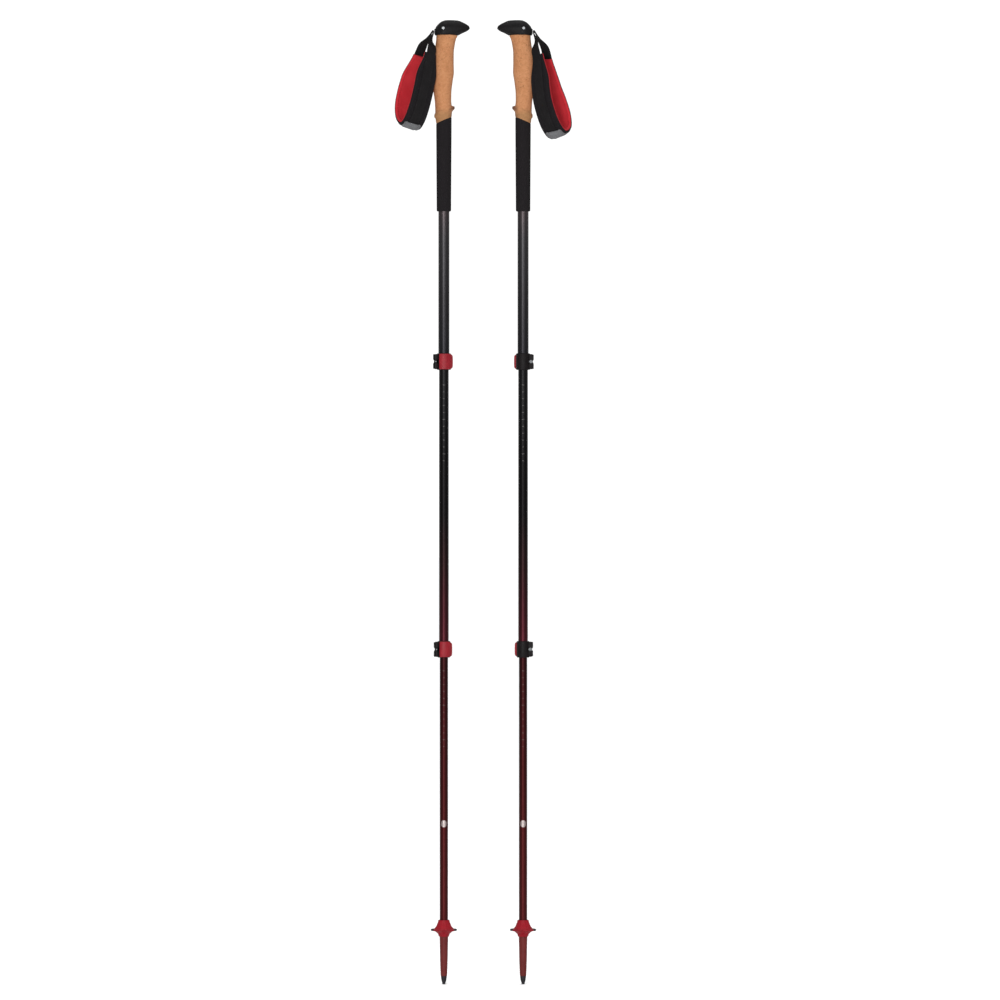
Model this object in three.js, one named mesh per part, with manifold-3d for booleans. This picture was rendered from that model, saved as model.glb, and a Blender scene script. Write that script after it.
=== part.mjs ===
/**
 * Trekking poles: a pair of three-section telescoping poles at full length, upright
 * and side by side. Millimetres, +Z up. The origin is at ground level, midway
 * between the two tips.
 *
 * Each pole is built in its own frame: its axis is Z, its tip is at z = 0, the beak
 * of its head points along +X, and its hand strap hangs behind the grip, at -X.
 * The second pole is the same product turned half a turn, with its strap made for
 * the other hand.
 */
import * as THREE from 'three';
import { mergeVertices } from 'three/addons/utils/BufferGeometryUtils.js';
import Module from 'manifold-3d';

const wasm = await Module();
wasm.setup();

// ---- Driving dimensions, in millimetres ----

const poleLength = 1400; // tip to top of head, fully extended
const poleSpacing = 115; // between the two pole axes
const seatGap = 0.3; // between pieces that touch
const throughHead = 30; // half length of a cut right across the head
const slidingGap = 0.15; // around a bush that slides in a tube
const roundSegments = 20;
const smallRoundSegments = 16;

const tube = {
  upperRadius: 8,
  wall: 0.8,
  play: 0.2, // between each tube and the next one, which it slides in
  topBelowHead: 32, // upper tube's top end, below the top of the head
  upperLength: 474.3,
  middleLength: 482.8,
  insertion: 65, // how far each tube still reaches into the next at full length
};

const head = {
  height: 22, // rubber head, from its top to the cork
  pocketFloor: 1.8, // rubber between the wedge's pocket and the cork
  insertWall: 1.3, // of the head's core, past the tube's outer radius
  rearWall: 4.2, // rubber behind the head's core
  insertTopBelowHead: 10,
  spigotLength: 16,
  pinRadius: 2.2,
  pinLength: 28.6,
  pinX: -0.8,
  pinBelowHead: 12.6,
};

const cork = {
  height: 123.3, // along the pole axis, from the head to the foam
  seamSlope: 0.42, // rise per mm towards the beak of the seam between cork and foam
};

const foam = { height: 132, topWall: 3.2, bottomWall: 2.5, chamfer: 1.6 };

const lock = {
  height: 24,
  lip: 1.4, // under the tube's end
  ringWall: 1.9,
  edgeChamfer: 1.4,
  earReach: 7.2, // past the tube's outer radius
  earThickness: 3.8,
  slit: 1.6,
  barrelRadius: 2.5,
  eyeWall: 1.3,
  barrelReach: 3.6, // of the barrel's axis, past the tube's outer radius
  leverThickness: 2,
  leverGap: 0.3,
  windowHeight: 5.6,
  screwRadius: 1.2,
  screwHeadRadius: 2.9,
  screwHeadLength: 2.4,
  slotWidth: 1, // of the screw's slot
  slotDepth: 0.9,
  barrelPlay: 0.2, // between the barrel and the cam block
  earCorner: 2.5,
  notchHeight: 4, // thumbnail notch in the ears' edge
  notchDepth: 1.2,
  tabSpan: 16, // degrees of the lever that its thumb tab takes
  tabProud: 0.7,
  tabInset: 4,
};

const bush = { wall: 1.5, spigotLength: 17, flangeLength: 3, flangeProud: 0.05 };

const tip = {
  holderTop: 12,
  carbideTop: 25.5,
  shoulder: 70.4, // where the basket's seat starts
  socketFloor: 72,
  socketTop: 91.5,
  socketGap: 0.2,
  socketWall: 0.7,
  carbideRadius: 2.3,
};

const basket = {
  bottom: 69,
  top: 93,
  discMiddle: 78.7,
  hubRadius: 14.8,
  rimWidth: 4.1,
  discThickness: 2.6,
  notchCount: 6,
  notchRadius: 2.4,
};

const strap = {
  webbingWidth: 14,
  webbingThickness: 1.2,
  padWidth: 31,
  padEndWidth: 18,
  padThickness: 4,
  padEdge: 2.5, // width of the pad's thinned edge
  liningThickness: 0.8,
  liningInset: 3, // of the lining's edge, from the pad's
  patchWidth: 25,
  patchThickness: 0.8,
  layerGap: 0.8, // between the webbing, the pad, the lining and the patch
  rollRadius: 1.7, // where both ends of the webbing are folded together
  wedgeHeight: 7.2,
  wedgeProud: 0.4, // behind the head
  wedgeToPin: 1.2, // from the wedge's front to the cross pin
};

// ---- Heights along one pole, from the tip up ----

const headTop = poleLength;
const headBottom = headTop - head.height;
const upperTubeTop = headTop - tube.topBelowHead;
const upperTubeBottom = upperTubeTop - tube.upperLength;
const middleTubeTop = upperTubeBottom + tube.insertion;
const middleTubeBottom = middleTubeTop - tube.middleLength;
const lowerTubeTop = middleTubeBottom + tube.insertion;
const lowerTubeBottom = tip.socketFloor + seatGap;
const corkTop = headBottom - seatGap;
const foamTop = corkTop - cork.height - seatGap;
const foamBottom = foamTop - foam.height;
const gripBore = tube.upperRadius + seatGap;
const foamTopRadius = tube.upperRadius + foam.topWall;
const middleRadius = tube.upperRadius - tube.wall - tube.play;
const lowerRadius = middleRadius - tube.wall - tube.play;
const insertRadius = tube.upperRadius + head.insertWall;
const headRear = insertRadius + head.rearWall;
const socketRadius = lowerRadius + tip.socketGap;
const basketSeatRadius = socketRadius + tip.socketWall;
const wedgeRear = -headRear - strap.wedgeProud;
const wedgeFront = head.pinX - head.pinRadius - strap.wedgeToPin;
const strapAnchor = new THREE.Vector3(
  wedgeRear - seatGap - strap.rollRadius,
  0,
  headBottom + head.pocketFloor + strap.wedgeHeight / 2,
);

// ---- Solids from geometry ----

/** A manifold-3d solid from a closed three.js geometry, with its faces pointing out. */
function solidOf(geometry) {
  const bare = geometry.clone();
  bare.deleteAttribute('normal');
  bare.deleteAttribute('uv');
  const merged = mergeVertices(bare, 1e-4);
  const positions = new Float32Array(merged.attributes.position.array);
  const corner = (i) => new THREE.Vector3().fromArray(positions, 3 * i);
  const triangles = [];
  let volume = 0;
  for (let t = 0; t < merged.index.count; t += 3) {
    const [a, b, c] = [0, 1, 2].map((k) => merged.index.getX(t + k));
    if (a === b || b === c || c === a) continue;
    triangles.push([a, b, c]);
    volume += corner(a).dot(corner(b).cross(corner(c)));
  }
  const outward = volume < 0 ? triangles.map(([a, b, c]) => [a, c, b]) : triangles;
  const triVerts = new Uint32Array(outward.flat());
  return new wasm.Manifold(new wasm.Mesh({ numProp: 3, vertProperties: positions, triVerts }));
}

function geometryOf(solid) {
  const mesh = solid.getMesh();
  const geometry = new THREE.BufferGeometry();
  geometry.setAttribute('position', new THREE.BufferAttribute(mesh.vertProperties, 3));
  geometry.setIndex(new THREE.BufferAttribute(mesh.triVerts, 1));
  return geometry;
}

const clean = (geometry) => geometryOf(solidOf(geometry));

const join = (...geometries) => geometryOf(geometries.map(solidOf).reduce((a, b) => a.add(b)));

function carve(geometry, ...cutters) {
  return geometryOf(cutters.map(solidOf).reduce((a, b) => a.subtract(b), solidOf(geometry)));
}

/** A solid turned about Z from a closed outline of [radius, z] points. */
function turned(outline, segments = roundSegments) {
  const points = outline.map(([radius, z]) => new THREE.Vector2(radius, z));
  return clean(new THREE.LatheGeometry(points, segments).rotateX(Math.PI / 2));
}

function ring(innerRadius, outerRadius, bottom, top) {
  return turned([
    [innerRadius, bottom],
    [outerRadius, bottom],
    [outerRadius, top],
    [innerRadius, top],
    [innerRadius, bottom],
  ]);
}

function rod(radius, bottom, top, segments = roundSegments) {
  return turned([[0, bottom], [radius, bottom], [radius, top], [0, top]], segments);
}

/** A round bar along Y, from y = start to y = end. */
function crossBar(radius, x, start, end, z, segments = 12) {
  const bar = new THREE.CylinderGeometry(radius, radius, end - start, segments);
  return bar.translate(x, (start + end) / 2, z);
}

function block(x0, x1, y0, y1, z0, z1) {
  const box = new THREE.BoxGeometry(x1 - x0, y1 - y0, z1 - z0);
  return box.translate((x0 + x1) / 2, (y0 + y1) / 2, (z0 + z1) / 2);
}

/** An outline in the XY plane, extruded from z = bottom to z = top. */
function upright(shape, bottom, top, curveSegments = 8) {
  const options = { depth: top - bottom, bevelEnabled: false, curveSegments };
  return new THREE.ExtrudeGeometry(shape, options).translate(0, 0, bottom);
}

/** An outline drawn as x across and z up, extruded from y = start to y = end. */
function sideways(shape, start, end) {
  const options = { depth: end - start, bevelEnabled: false, curveSegments: 6 };
  return new THREE.ExtrudeGeometry(shape, options).rotateX(Math.PI / 2).translate(0, end, 0);
}

/** A closed solid through rings of points. Every ring has the same number of points. */
function loft(rings) {
  const count = rings[0].length;
  const geometry = new THREE.BufferGeometry().setFromPoints(rings.flat());
  const index = [];
  for (let r = 0; r + 1 < rings.length; r++) {
    for (let i = 0; i < count; i++) {
      const [a, b] = [r * count + i, r * count + ((i + 1) % count)];
      index.push(a, b, b + count, a, b + count, a + count);
    }
  }
  const last = (rings.length - 1) * count;
  for (let i = 1; i + 1 < count; i++) {
    index.push(0, i + 1, i, last, last + i, last + i + 1);
  }
  geometry.setIndex(index);
  return clean(geometry);
}

/**
 * A ring round the pole that is round behind and long in front, as a hand-shaped grip is.
 * slope tilts the ring: its height rises by this much per mm towards the front.
 */
function gripRing({ z, rear, front, half, slope = 0, frontTaper = 0 }, count = 18) {
  const middle = Math.min(rear + half, (front + rear) / 2);
  const points = [];
  for (let i = 0; i < count; i++) {
    const angle = (2 * Math.PI * i) / count;
    const ahead = Math.cos(angle);
    const x = middle + ahead * (ahead > 0 ? front - middle : middle - rear);
    const y = half * Math.sin(angle) * (1 - frontTaper * Math.max(0, ahead));
    points.push(new THREE.Vector3(x, y, z + slope * x));
  }
  return points;
}

// ---- Grip ----

/** Rubber head: a palm rest that runs out into a beak in front. */
function pommelGeometry() {
  const taper = 0.3;
  const outline = [
    { z: headBottom, rear: 0.2 - headRear, front: 22.5, half: 14 },
    { z: headTop - 19, rear: -0.1 - headRear, front: 27.2, half: 14.8 },
    { z: headTop - 15.5, rear: -headRear, front: 34.4, half: 15 },
    { z: headTop - 12, rear: 1 - headRear, front: 37.6, half: 14.8 },
    { z: headTop - 9, rear: 2.5 - headRear, front: 36.6, half: 14 },
    { z: headTop - 6, rear: 5.1 - headRear, front: 33, half: 12.4 },
    { z: headTop - 3, rear: 8.5 - headRear, front: 27, half: 9.6 },
    { z: headTop - 1, rear: 12.5 - headRear, front: 22.4, half: 6.6 },
    { z: headTop, rear: 16 - headRear, front: 17.5, half: 4 },
  ];
  const rings = outline.map((ringSize) => gripRing({ ...ringSize, frontTaper: taper }));
  const cavityTop = headTop - head.insertTopBelowHead + seatGap;
  return carve(
    loft(rings),
    rod(insertRadius + seatGap, headBottom - 1, cavityTop),
    wedgePocket(),
    pinHole(),
  );
}

/** Room for the wedge, open at the back of the head. */
function wedgePocket() {
  const half = strap.webbingWidth / 2 + seatGap;
  const middle = strapAnchor.z;
  const tall = strap.wedgeHeight / 2 + seatGap;
  return block(-throughHead, wedgeFront + seatGap, -half, half, middle - tall, middle + tall);
}

function pinHole() {
  const height = headTop - head.pinBelowHead;
  return crossBar(head.pinRadius + seatGap, head.pinX, -throughHead, throughHead, height);
}

/** Hard plastic core of the head, with a spigot that is glued into the upper tube. */
function insertGeometry() {
  const spigotRadius = tube.upperRadius - tube.wall - slidingGap;
  const shoulder = upperTubeTop + seatGap;
  const body = turned([
    [0, upperTubeTop - head.spigotLength],
    [spigotRadius, upperTubeTop - head.spigotLength],
    [spigotRadius, shoulder],
    [tube.upperRadius, shoulder],
    [tube.upperRadius, headBottom + seatGap],
    [insertRadius, headBottom + seatGap],
    [insertRadius, headTop - head.insertTopBelowHead],
    [0, headTop - head.insertTopBelowHead],
  ], smallRoundSegments);
  return carve(body, wedgePocket(), pinHole());
}

function pinGeometry() {
  const half = head.pinLength / 2;
  return crossBar(head.pinRadius, head.pinX, -half, half, headTop - head.pinBelowHead);
}

/** Cork grip, with a palm swell behind and a slanted ledge for the fingers near its foot. */
function corkGeometry() {
  const slope = cork.seamSlope;
  const foot = corkTop - cork.height;
  const outline = [
    { z: corkTop, rear: -11, front: 20, half: 12.8 },
    { z: corkTop - 5, rear: -11.2, front: 17.8, half: 13 },
    { z: corkTop - 14, rear: -12.2, front: 15.8, half: 13.4 },
    { z: corkTop - 25, rear: -14.4, front: 14.4, half: 13.8 },
    { z: corkTop - 41, rear: -17.6, front: 14.3, half: 14.2 },
    { z: corkTop - 53, rear: -18.4, front: 14.6, half: 14.3 },
    { z: corkTop - 68, rear: -17.6, front: 12.6, half: 13.8 },
    { z: corkTop - 84, rear: -14.8, front: 10.9, half: 12.6 },
    { z: foot + 27, rear: -13, front: 10.7, half: 12, slope: slope / 2 },
    { z: foot + 17, rear: -12.6, front: 11.4, half: 12, slope },
    { z: foot + 13.4, rear: -14, front: 15.8, half: 12.9, slope },
    { z: foot + 10.8, rear: -14, front: 15.8, half: 12.9, slope },
    { z: foot + 7.4, rear: -12.2, front: 12, half: 11.8, slope },
    { z: foot, rear: -foamTopRadius, front: foamTopRadius, half: foamTopRadius, slope },
  ];
  const bore = rod(gripBore, foot - 20, corkTop + 1);
  return carve(loft(outline.map((ringSize) => gripRing(ringSize))), bore);
}

/** Foam sleeve under the cork. Its top end is cut on the same slant as the cork's foot. */
function foamGeometry() {
  const bottomRadius = tube.upperRadius + foam.bottomWall;
  const round = (radius, z, slope = 0) =>
    gripRing({ z, rear: -radius, front: radius, half: radius, slope }, roundSegments);
  const sleeve = loft([
    round(bottomRadius - foam.chamfer / 2, foamBottom),
    round(bottomRadius, foamBottom + foam.chamfer),
    round(foamTopRadius, foamTop - 2 * foamTopRadius * cork.seamSlope),
    round(foamTopRadius, foamTop, cork.seamSlope),
  ]);
  return carve(sleeve, rod(gripBore, foamBottom - 1, foamTop + 20));
}

// ---- Strap ----

/**
 * The strap hangs as a loop from the back of the head: down its near branch, round
 * the bottom bend and up its far branch. Points are measured from the anchor, where
 * the webbing comes out of the head, for a pole whose near side is at -Y.
 */
const strapRoutes = {
  left: {
    yaw: 22,
    points: [
      [0.8, 0, -0.7],
      [0.7, 0, -2.2],
      [-1.9, -4, -11],
      [-2.8, -12, -23],
      [-4.6, -21, -41],
      [-9, -26, -63],
      [-13.5, -28, -86],
      [-19.5, -25, -110],
      [-26.5, -15, -128.5],
      [-33.5, -1, -136.5],
      [-39.5, 14, -129],
      [-41.5, 23, -110],
      [-38, 27, -88],
      [-30.5, 25, -63],
      [-21.8, 18, -38],
      [-14, 10, -21],
      [-6.5, 3.5, -8],
      [-1.8, 0, -0.9],
      [-0.8, 0, 0.7],
    ],
  },
  right: {
    yaw: 34,
    points: [
      [0.8, 0, -0.7],
      [0.7, 0, -2.2],
      [-2.2, -4, -12],
      [-3.5, -12, -25],
      [-6.4, -21, -45],
      [-8.6, -26, -70],
      [-11.4, -28, -97],
      [-17.6, -25, -121],
      [-25.8, -15, -140],
      [-34.5, -1, -149],
      [-41.6, 14, -142],
      [-41, 23, -124],
      [-34, 27, -100],
      [-25, 25, -76],
      [-20.4, 18, -49],
      [-14.8, 10, -26],
      [-6.4, 3.5, -9],
      [-1.8, 0, -0.9],
      [-0.8, 0, 0.7],
    ],
  },
};

// All layers of a strap share the same cross-sections along the loop, so they lie parallel.
const strapSteps = 60;
const padSteps = [7, 52]; // where the pad begins and ends
const patchSteps = [27, 33];
const twistSteps = 7; // over which the webbing turns from level to upright
const swellSteps = 7; // over which the pad grows to its full width
const layerStart = 2; // where the webbing begins to rise from the route to the pad's outer face
const layerSteps = 4;
const strapLean = 0.3; // fall of the band's width towards the grip

const smooth = (t) => THREE.MathUtils.smoothstep(t, 0, 1);

/** Builds the four layers of one hand strap. */
function strapGeometries(route) {
  const stations = route.points.map(([x, y, z]) => new THREE.Vector3(x, y, z).add(strapAnchor));
  const curve = new THREE.CatmullRomCurve3(stations);
  const yaw = THREE.MathUtils.degToRad(route.yaw);
  const flat = new THREE.Vector3(Math.cos(yaw), Math.sin(yaw), -strapLean).normalize();
  const level = new THREE.Vector3(0, 1, 0);

  /** How far the band has turned at a step, from 0 at the head to 1 on the loop. */
  const turnAt = (step) => smooth(Math.min(step, strapSteps - step) / twistSteps);
  /** How far the pad has swollen at a step, from 0 at its ends to 1. */
  const swellAt = (step) => smooth(Math.min(step - padSteps[0], padSteps[1] - step) / swellSteps);

  function layer([first, last], sectionAt) {
    const rings = [];
    for (let step = first; step <= last; step++) {
      const centre = curve.getPointAt(step / strapSteps);
      const along = curve.getTangentAt(step / strapSteps);
      const across = level.clone().lerp(flat, turnAt(step));
      across.addScaledVector(along, -across.dot(along)).normalize();
      const outward = new THREE.Vector3().crossVectors(along, across);
      const place = ([a, o]) => centre.clone().addScaledVector(across, a).addScaledVector(outward, o);
      rings.push(sectionAt(step).map(place));
    }
    return loft(rings);
  }

  const flatSection = (half, low, high) => [[-half, low], [half, low], [half, high], [-half, high]];
  const padHalf = (step) => THREE.MathUtils.lerp(strap.padEndWidth, strap.padWidth, swellAt(step)) / 2;
  const padSection = (step) => {
    const [wide, thick] = [padHalf(step), strap.padThickness / 2];
    const shoulder = wide - strap.padEdge;
    return [
      [-wide, 0],
      [-shoulder, -thick],
      [shoulder, -thick],
      [wide, 0],
      [shoulder, thick],
      [-shoulder, thick],
    ];
  };

  const webbingOut = strap.padThickness / 2 + strap.layerGap + strap.webbingThickness / 2;
  const webbingSection = (step) => {
    const offset = webbingOut * smooth((Math.min(step, strapSteps - step) - layerStart) / layerSteps);
    const thick = strap.webbingThickness / 2;
    return flatSection(strap.webbingWidth / 2, offset - thick, offset + thick);
  };
  const liningTop = -strap.padThickness / 2 - strap.layerGap;
  const patchLow = webbingOut + strap.webbingThickness / 2 + strap.layerGap;
  const rollWidth = strap.webbingWidth / 2;
  const roll = crossBar(strap.rollRadius, strapAnchor.x, -rollWidth, rollWidth, strapAnchor.z, 10);

  return {
    strap_webbing: join(layer([0, strapSteps], webbingSection), roll),
    strap_pad: layer(padSteps, padSection),
    strap_lining: layer(padSteps, (step) =>
      flatSection(padHalf(step) - strap.liningInset, liningTop - strap.liningThickness, liningTop),
    ),
    strap_patch: layer(patchSteps, () =>
      flatSection(strap.patchWidth / 2, patchLow, patchLow + strap.patchThickness),
    ),
  };
}

/** Wedge that jams the webbing in the head. It tapers towards the front. */
function wedgeGeometry() {
  const [tall, middle] = [strap.wedgeHeight / 2, strapAnchor.z];
  const shape = new THREE.Shape([
    new THREE.Vector2(wedgeRear, middle - tall),
    new THREE.Vector2(wedgeFront, middle - tall / 2),
    new THREE.Vector2(wedgeFront, middle + tall / 2),
    new THREE.Vector2(wedgeRear, middle + tall),
  ]);
  return clean(sideways(shape, -strap.webbingWidth / 2, strap.webbingWidth / 2));
}

// ---- Tubes ----

const tubeGeometry = (radius, bottom, top) => ring(radius - tube.wall, radius, bottom, top);

/** Bush at the inner end of a sliding tube: a flange that runs in the next tube's bore. */
function bushGeometry(tubeRadius, tubeTop) {
  const bore = tubeRadius - tube.wall - slidingGap;
  const flange = tubeRadius + bush.flangeProud;
  const inner = bore - bush.wall;
  const [foot, seat] = [tubeTop - bush.spigotLength, tubeTop + seatGap];
  const crown = seat + bush.flangeLength;
  return turned([
    [inner, foot],
    [bore, foot],
    [bore, seat],
    [flange, seat],
    [flange, crown],
    [inner, crown],
    [inner, foot],
  ], smallRoundSegments);
}

// ---- Lever locks ----

/** Sizes that one lock takes from the tube that it grips. */
function lockSizes(tubeRadius, tubeBottom) {
  const bore = tubeRadius + seatGap;
  const ringRadius = bore + lock.ringWall;
  const bottom = tubeBottom - seatGap - lock.lip;
  const earFace = lock.slit / 2 + lock.earThickness;
  const eyeBore = lock.barrelRadius + lock.barrelPlay;
  const eyeRadius = eyeBore + lock.eyeWall;
  return {
    bore,
    ringRadius,
    bottom,
    top: bottom + lock.height,
    middle: bottom + lock.height / 2,
    lipRadius: tubeRadius - 1 + seatGap,
    earFace,
    earEnd: -(tubeRadius + lock.earReach),
    eyeBore,
    eyeRadius,
    barrelX: -(tubeRadius + lock.barrelReach),
    barrelY: -(earFace + seatGap + eyeRadius),
    leverRadius: ringRadius + lock.leverGap,
  };
}

/** Split clamp ring on the end of the outer tube, with two ears behind it. */
function collarGeometry(size) {
  const chamfer = lock.edgeChamfer;
  const body = turned([
    [size.lipRadius, size.bottom],
    [size.ringRadius - chamfer, size.bottom],
    [size.ringRadius, size.bottom + chamfer],
    [size.ringRadius, size.top - chamfer],
    [size.ringRadius - chamfer, size.top],
    [size.bore, size.top],
    [size.bore, size.bottom + lock.lip],
    [size.lipRadius, size.bottom + lock.lip],
    [size.lipRadius, size.bottom],
  ], smallRoundSegments);
  const [low, high] = [size.bottom + chamfer, size.top - chamfer];
  const [edge, root] = [size.earEnd, -size.bore];
  const [notchFloor, notch] = [edge + lock.notchDepth, lock.notchHeight / 2];
  const ear = new THREE.Shape();
  ear.moveTo(root, low);
  ear.lineTo(edge + 0.8 * lock.earCorner, low);
  ear.lineTo(edge, low + lock.earCorner);
  ear.lineTo(edge, size.middle - notch);
  ear.lineTo(notchFloor, size.middle - notch / 2);
  ear.lineTo(notchFloor, size.middle + notch / 2);
  ear.lineTo(edge, size.middle + notch);
  ear.lineTo(edge, high - lock.earCorner);
  ear.lineTo(edge + 0.8 * lock.earCorner, high);
  ear.lineTo(root, high);
  const ears = sideways(ear, -size.earFace, size.earFace);
  const throughTube = rod(size.bore, size.bottom + lock.lip, size.top + 1, smallRoundSegments);
  const slitEnd = 1 - size.lipRadius;
  const slitHalf = lock.slit / 2;
  const slit = block(edge - 1, slitEnd, -slitHalf, slitHalf, size.bottom - 1, size.top + 1);
  const screwHole = crossBar(lock.screwRadius + seatGap, size.barrelX, -20, 20, size.middle);
  const headSeat = crossBar(lock.screwHeadRadius + seatGap, size.barrelX, size.earFace, 20, size.middle, 16);
  return carve(join(body, ears), throughTube, slit, screwHole, headSeat);
}

/** An arc-shaped wall round the pole axis, between two angles in degrees. */
function arcWall(inner, outer, start, end, bottom, top) {
  const [from, to] = [start, end].map(THREE.MathUtils.degToRad);
  const shape = new THREE.Shape();
  shape.absarc(0, 0, outer, from, to, false);
  shape.absarc(0, 0, inner, to, from, true);
  return upright(shape, bottom, top, Math.ceil((end - start) / 12));
}

const camEnd = 237; // where the cam block meets the lever's arm, in degrees about the pole
const leverEnd = 350;

/** Cam block that turns on the barrel and carries the lever. */
function camGeometry(size) {
  const [bottom, top] = [size.bottom + lock.edgeChamfer, size.top - lock.edgeChamfer];
  const onBarrel = (radius, low, high) => rod(radius, low, high, 16).translate(size.barrelX, size.barrelY, 0);
  const outer = size.leverRadius + lock.leverThickness;
  const barrelAngle = THREE.MathUtils.radToDeg(Math.atan2(size.barrelY, size.barrelX)) + 360;
  const wall = arcWall(size.leverRadius, outer, barrelAngle, camEnd, bottom, top);
  const windowHalf = lock.windowHeight / 2;
  const window = onBarrel(size.eyeRadius + 0.4, size.middle - windowHalf, size.middle + windowHalf);
  const bore = onBarrel(size.eyeBore, bottom - 1, top + 1);
  return carve(join(onBarrel(size.eyeRadius, bottom, top), wall), window, bore);
}

/** Lever arm, wrapped round the ring from the cam block to the thumb tab in front. */
function leverGeometry(size) {
  const [bottom, top] = [size.bottom + lock.edgeChamfer / 2, size.top - lock.edgeChamfer / 2];
  const outer = size.leverRadius + lock.leverThickness;
  const seam = THREE.MathUtils.radToDeg(seatGap / size.leverRadius);
  const arm = arcWall(size.leverRadius, outer, camEnd + seam, leverEnd, bottom, top);
  const [tabInner, tabOuter] = [size.leverRadius + 0.6, outer + lock.tabProud];
  const [tabLow, tabHigh] = [bottom + lock.tabInset, top - lock.tabInset];
  const tab = arcWall(tabInner, tabOuter, leverEnd - lock.tabSpan, leverEnd, tabLow, tabHigh);
  return join(arm, tab);
}

/** Barrel nut in the cam block, with a cross hole for the tension screw. */
function barrelGeometry(size) {
  const [bottom, top] = [size.bottom + lock.edgeChamfer, size.top - lock.edgeChamfer];
  const barrel = rod(lock.barrelRadius, bottom, top, 16).translate(size.barrelX, size.barrelY, 0);
  return carve(barrel, crossBar(lock.screwRadius + seatGap, size.barrelX, -20, 0, size.middle));
}

/** Tension screw, through both ears into the barrel, with a slotted head. */
function screwGeometry(size) {
  const headStart = size.earFace + seatGap;
  const headEnd = headStart + lock.screwHeadLength;
  const shank = crossBar(lock.screwRadius, size.barrelX, size.barrelY - 2, headStart + 1, size.middle);
  const cap = crossBar(lock.screwHeadRadius, size.barrelX, headStart, headEnd, size.middle, 16);
  const [x, z, half] = [size.barrelX, size.middle, lock.slotWidth / 2];
  const slot = block(x - 4, x + 4, headEnd - lock.slotDepth, headEnd + 1, z - half, z + half);
  return carve(join(shank, cap), slot);
}

// ---- Tip and basket ----

/** Flexible plastic tip. Its upper end is a socket for the lower tube and a seat for the basket. */
function flexTipGeometry() {
  const holderBore = tip.carbideRadius + seatGap;
  return turned([
    [0, tip.carbideTop + seatGap],
    [holderBore, tip.carbideTop + seatGap],
    [holderBore, tip.holderTop],
    [4.6, tip.holderTop],
    [5.1, 20],
    [5.6, 35],
    [5.8, 50],
    [socketRadius, tip.shoulder - 5],
    [socketRadius, tip.shoulder - tip.socketWall],
    [basketSeatRadius, tip.shoulder],
    [basketSeatRadius, tip.socketTop],
    [socketRadius, tip.socketTop],
    [socketRadius, tip.socketFloor],
    [0, tip.socketFloor],
  ], smallRoundSegments);
}

/** Carbide point in its holder, with a cupped end that bites on rock. */
function carbideGeometry() {
  const seat = tip.holderTop - seatGap;
  return turned([
    [0, tip.carbideTop],
    [tip.carbideRadius, tip.carbideTop],
    [tip.carbideRadius, seat],
    [4.4, seat],
    [4.1, 7.5],
    [3.3, 3.4],
    [2.5, 3],
    [2.4, 0],
    [1.1, 0],
    [0, 1.2],
  ], smallRoundSegments);
}

/** Red hub of the basket: two cones, one above and one below the disc. */
function hubGeometry() {
  const seat = basketSeatRadius + seatGap;
  const waist = socketRadius + seatGap;
  const [bottom, top, middle] = [basket.bottom, basket.top, basket.discMiddle];
  return turned([
    [waist, bottom],
    [7.4, bottom],
    [8.6, bottom + 3.8],
    [basket.hubRadius - 2.6, middle - 2.6],
    [basket.hubRadius, middle - 1.4],
    [basket.hubRadius, middle + 1.4],
    [11, middle + 5.6],
    [8.9, middle + 10.8],
    [8, top],
    [seat, top],
    [seat, tip.shoulder],
    [waist, tip.shoulder - tip.socketWall],
    [waist, bottom],
  ], smallRoundSegments);
}

/** Thin rim of the basket, with notches round its edge. */
function discGeometry() {
  const half = basket.discThickness / 2;
  const [bottom, top] = [basket.discMiddle - half, basket.discMiddle + half];
  const inner = basket.hubRadius + seatGap;
  const outer = inner + basket.rimWidth;
  const rim = ring(inner, outer, bottom, top);
  const reach = outer + 1;
  const notches = [];
  for (let i = 0; i < basket.notchCount; i++) {
    const angle = (2 * Math.PI * (i + 0.5)) / basket.notchCount;
    const notch = rod(basket.notchRadius, bottom - 1, top + 1, 8);
    notches.push(notch.translate(reach * Math.cos(angle), reach * Math.sin(angle), 0));
  }
  return carve(rim, ...notches);
}

// ---- Materials ----

const finish = (color, roughness, metalness = 0) =>
  new THREE.MeshStandardMaterial({ color, roughness, metalness });

const finishes = {
  rubber: finish('#232123', 0.75),
  cork: finish('#c48a5c', 0.85),
  foam: finish('#262325', 0.95),
  hardPlastic: finish('#1e1c1d', 0.5),
  pin: finish('#8d8f92', 0.35, 0.9),
  upperTube: finish('#55524f', 0.35, 0.8),
  middleTube: finish('#38302f', 0.35, 0.8),
  lowerTube: finish('#5c2523', 0.35, 0.8),
  redLever: finish('#a52a33', 0.4),
  steel: finish('#7b7d80', 0.35, 1),
  bush: finish('#d8d5cc', 0.6),
  redPlastic: finish('#a01e2a', 0.5),
  tipPlastic: finish('#7a2f2e', 0.55),
  carbide: finish('#3b3a3c', 0.4, 0.9),
  basketRim: finish('#2b2a2b', 0.6),
  webbing: finish('#1d1b1c', 0.9),
  padding: finish('#222022', 0.95),
  lining: finish('#a8252c', 0.9),
  patch: finish('#77787a', 0.7),
};

// ---- Assembly ----

function lockPieces(place, size) {
  return [
    [`${place}_collar`, collarGeometry(size), finishes.hardPlastic],
    [`${place}_cam`, camGeometry(size), finishes.hardPlastic],
    [`${place}_lever`, leverGeometry(size), finishes.redLever],
    [`${place}_barrel`, barrelGeometry(size), finishes.steel],
    [`${place}_tension_screw`, screwGeometry(size), finishes.steel],
  ];
}

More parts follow.
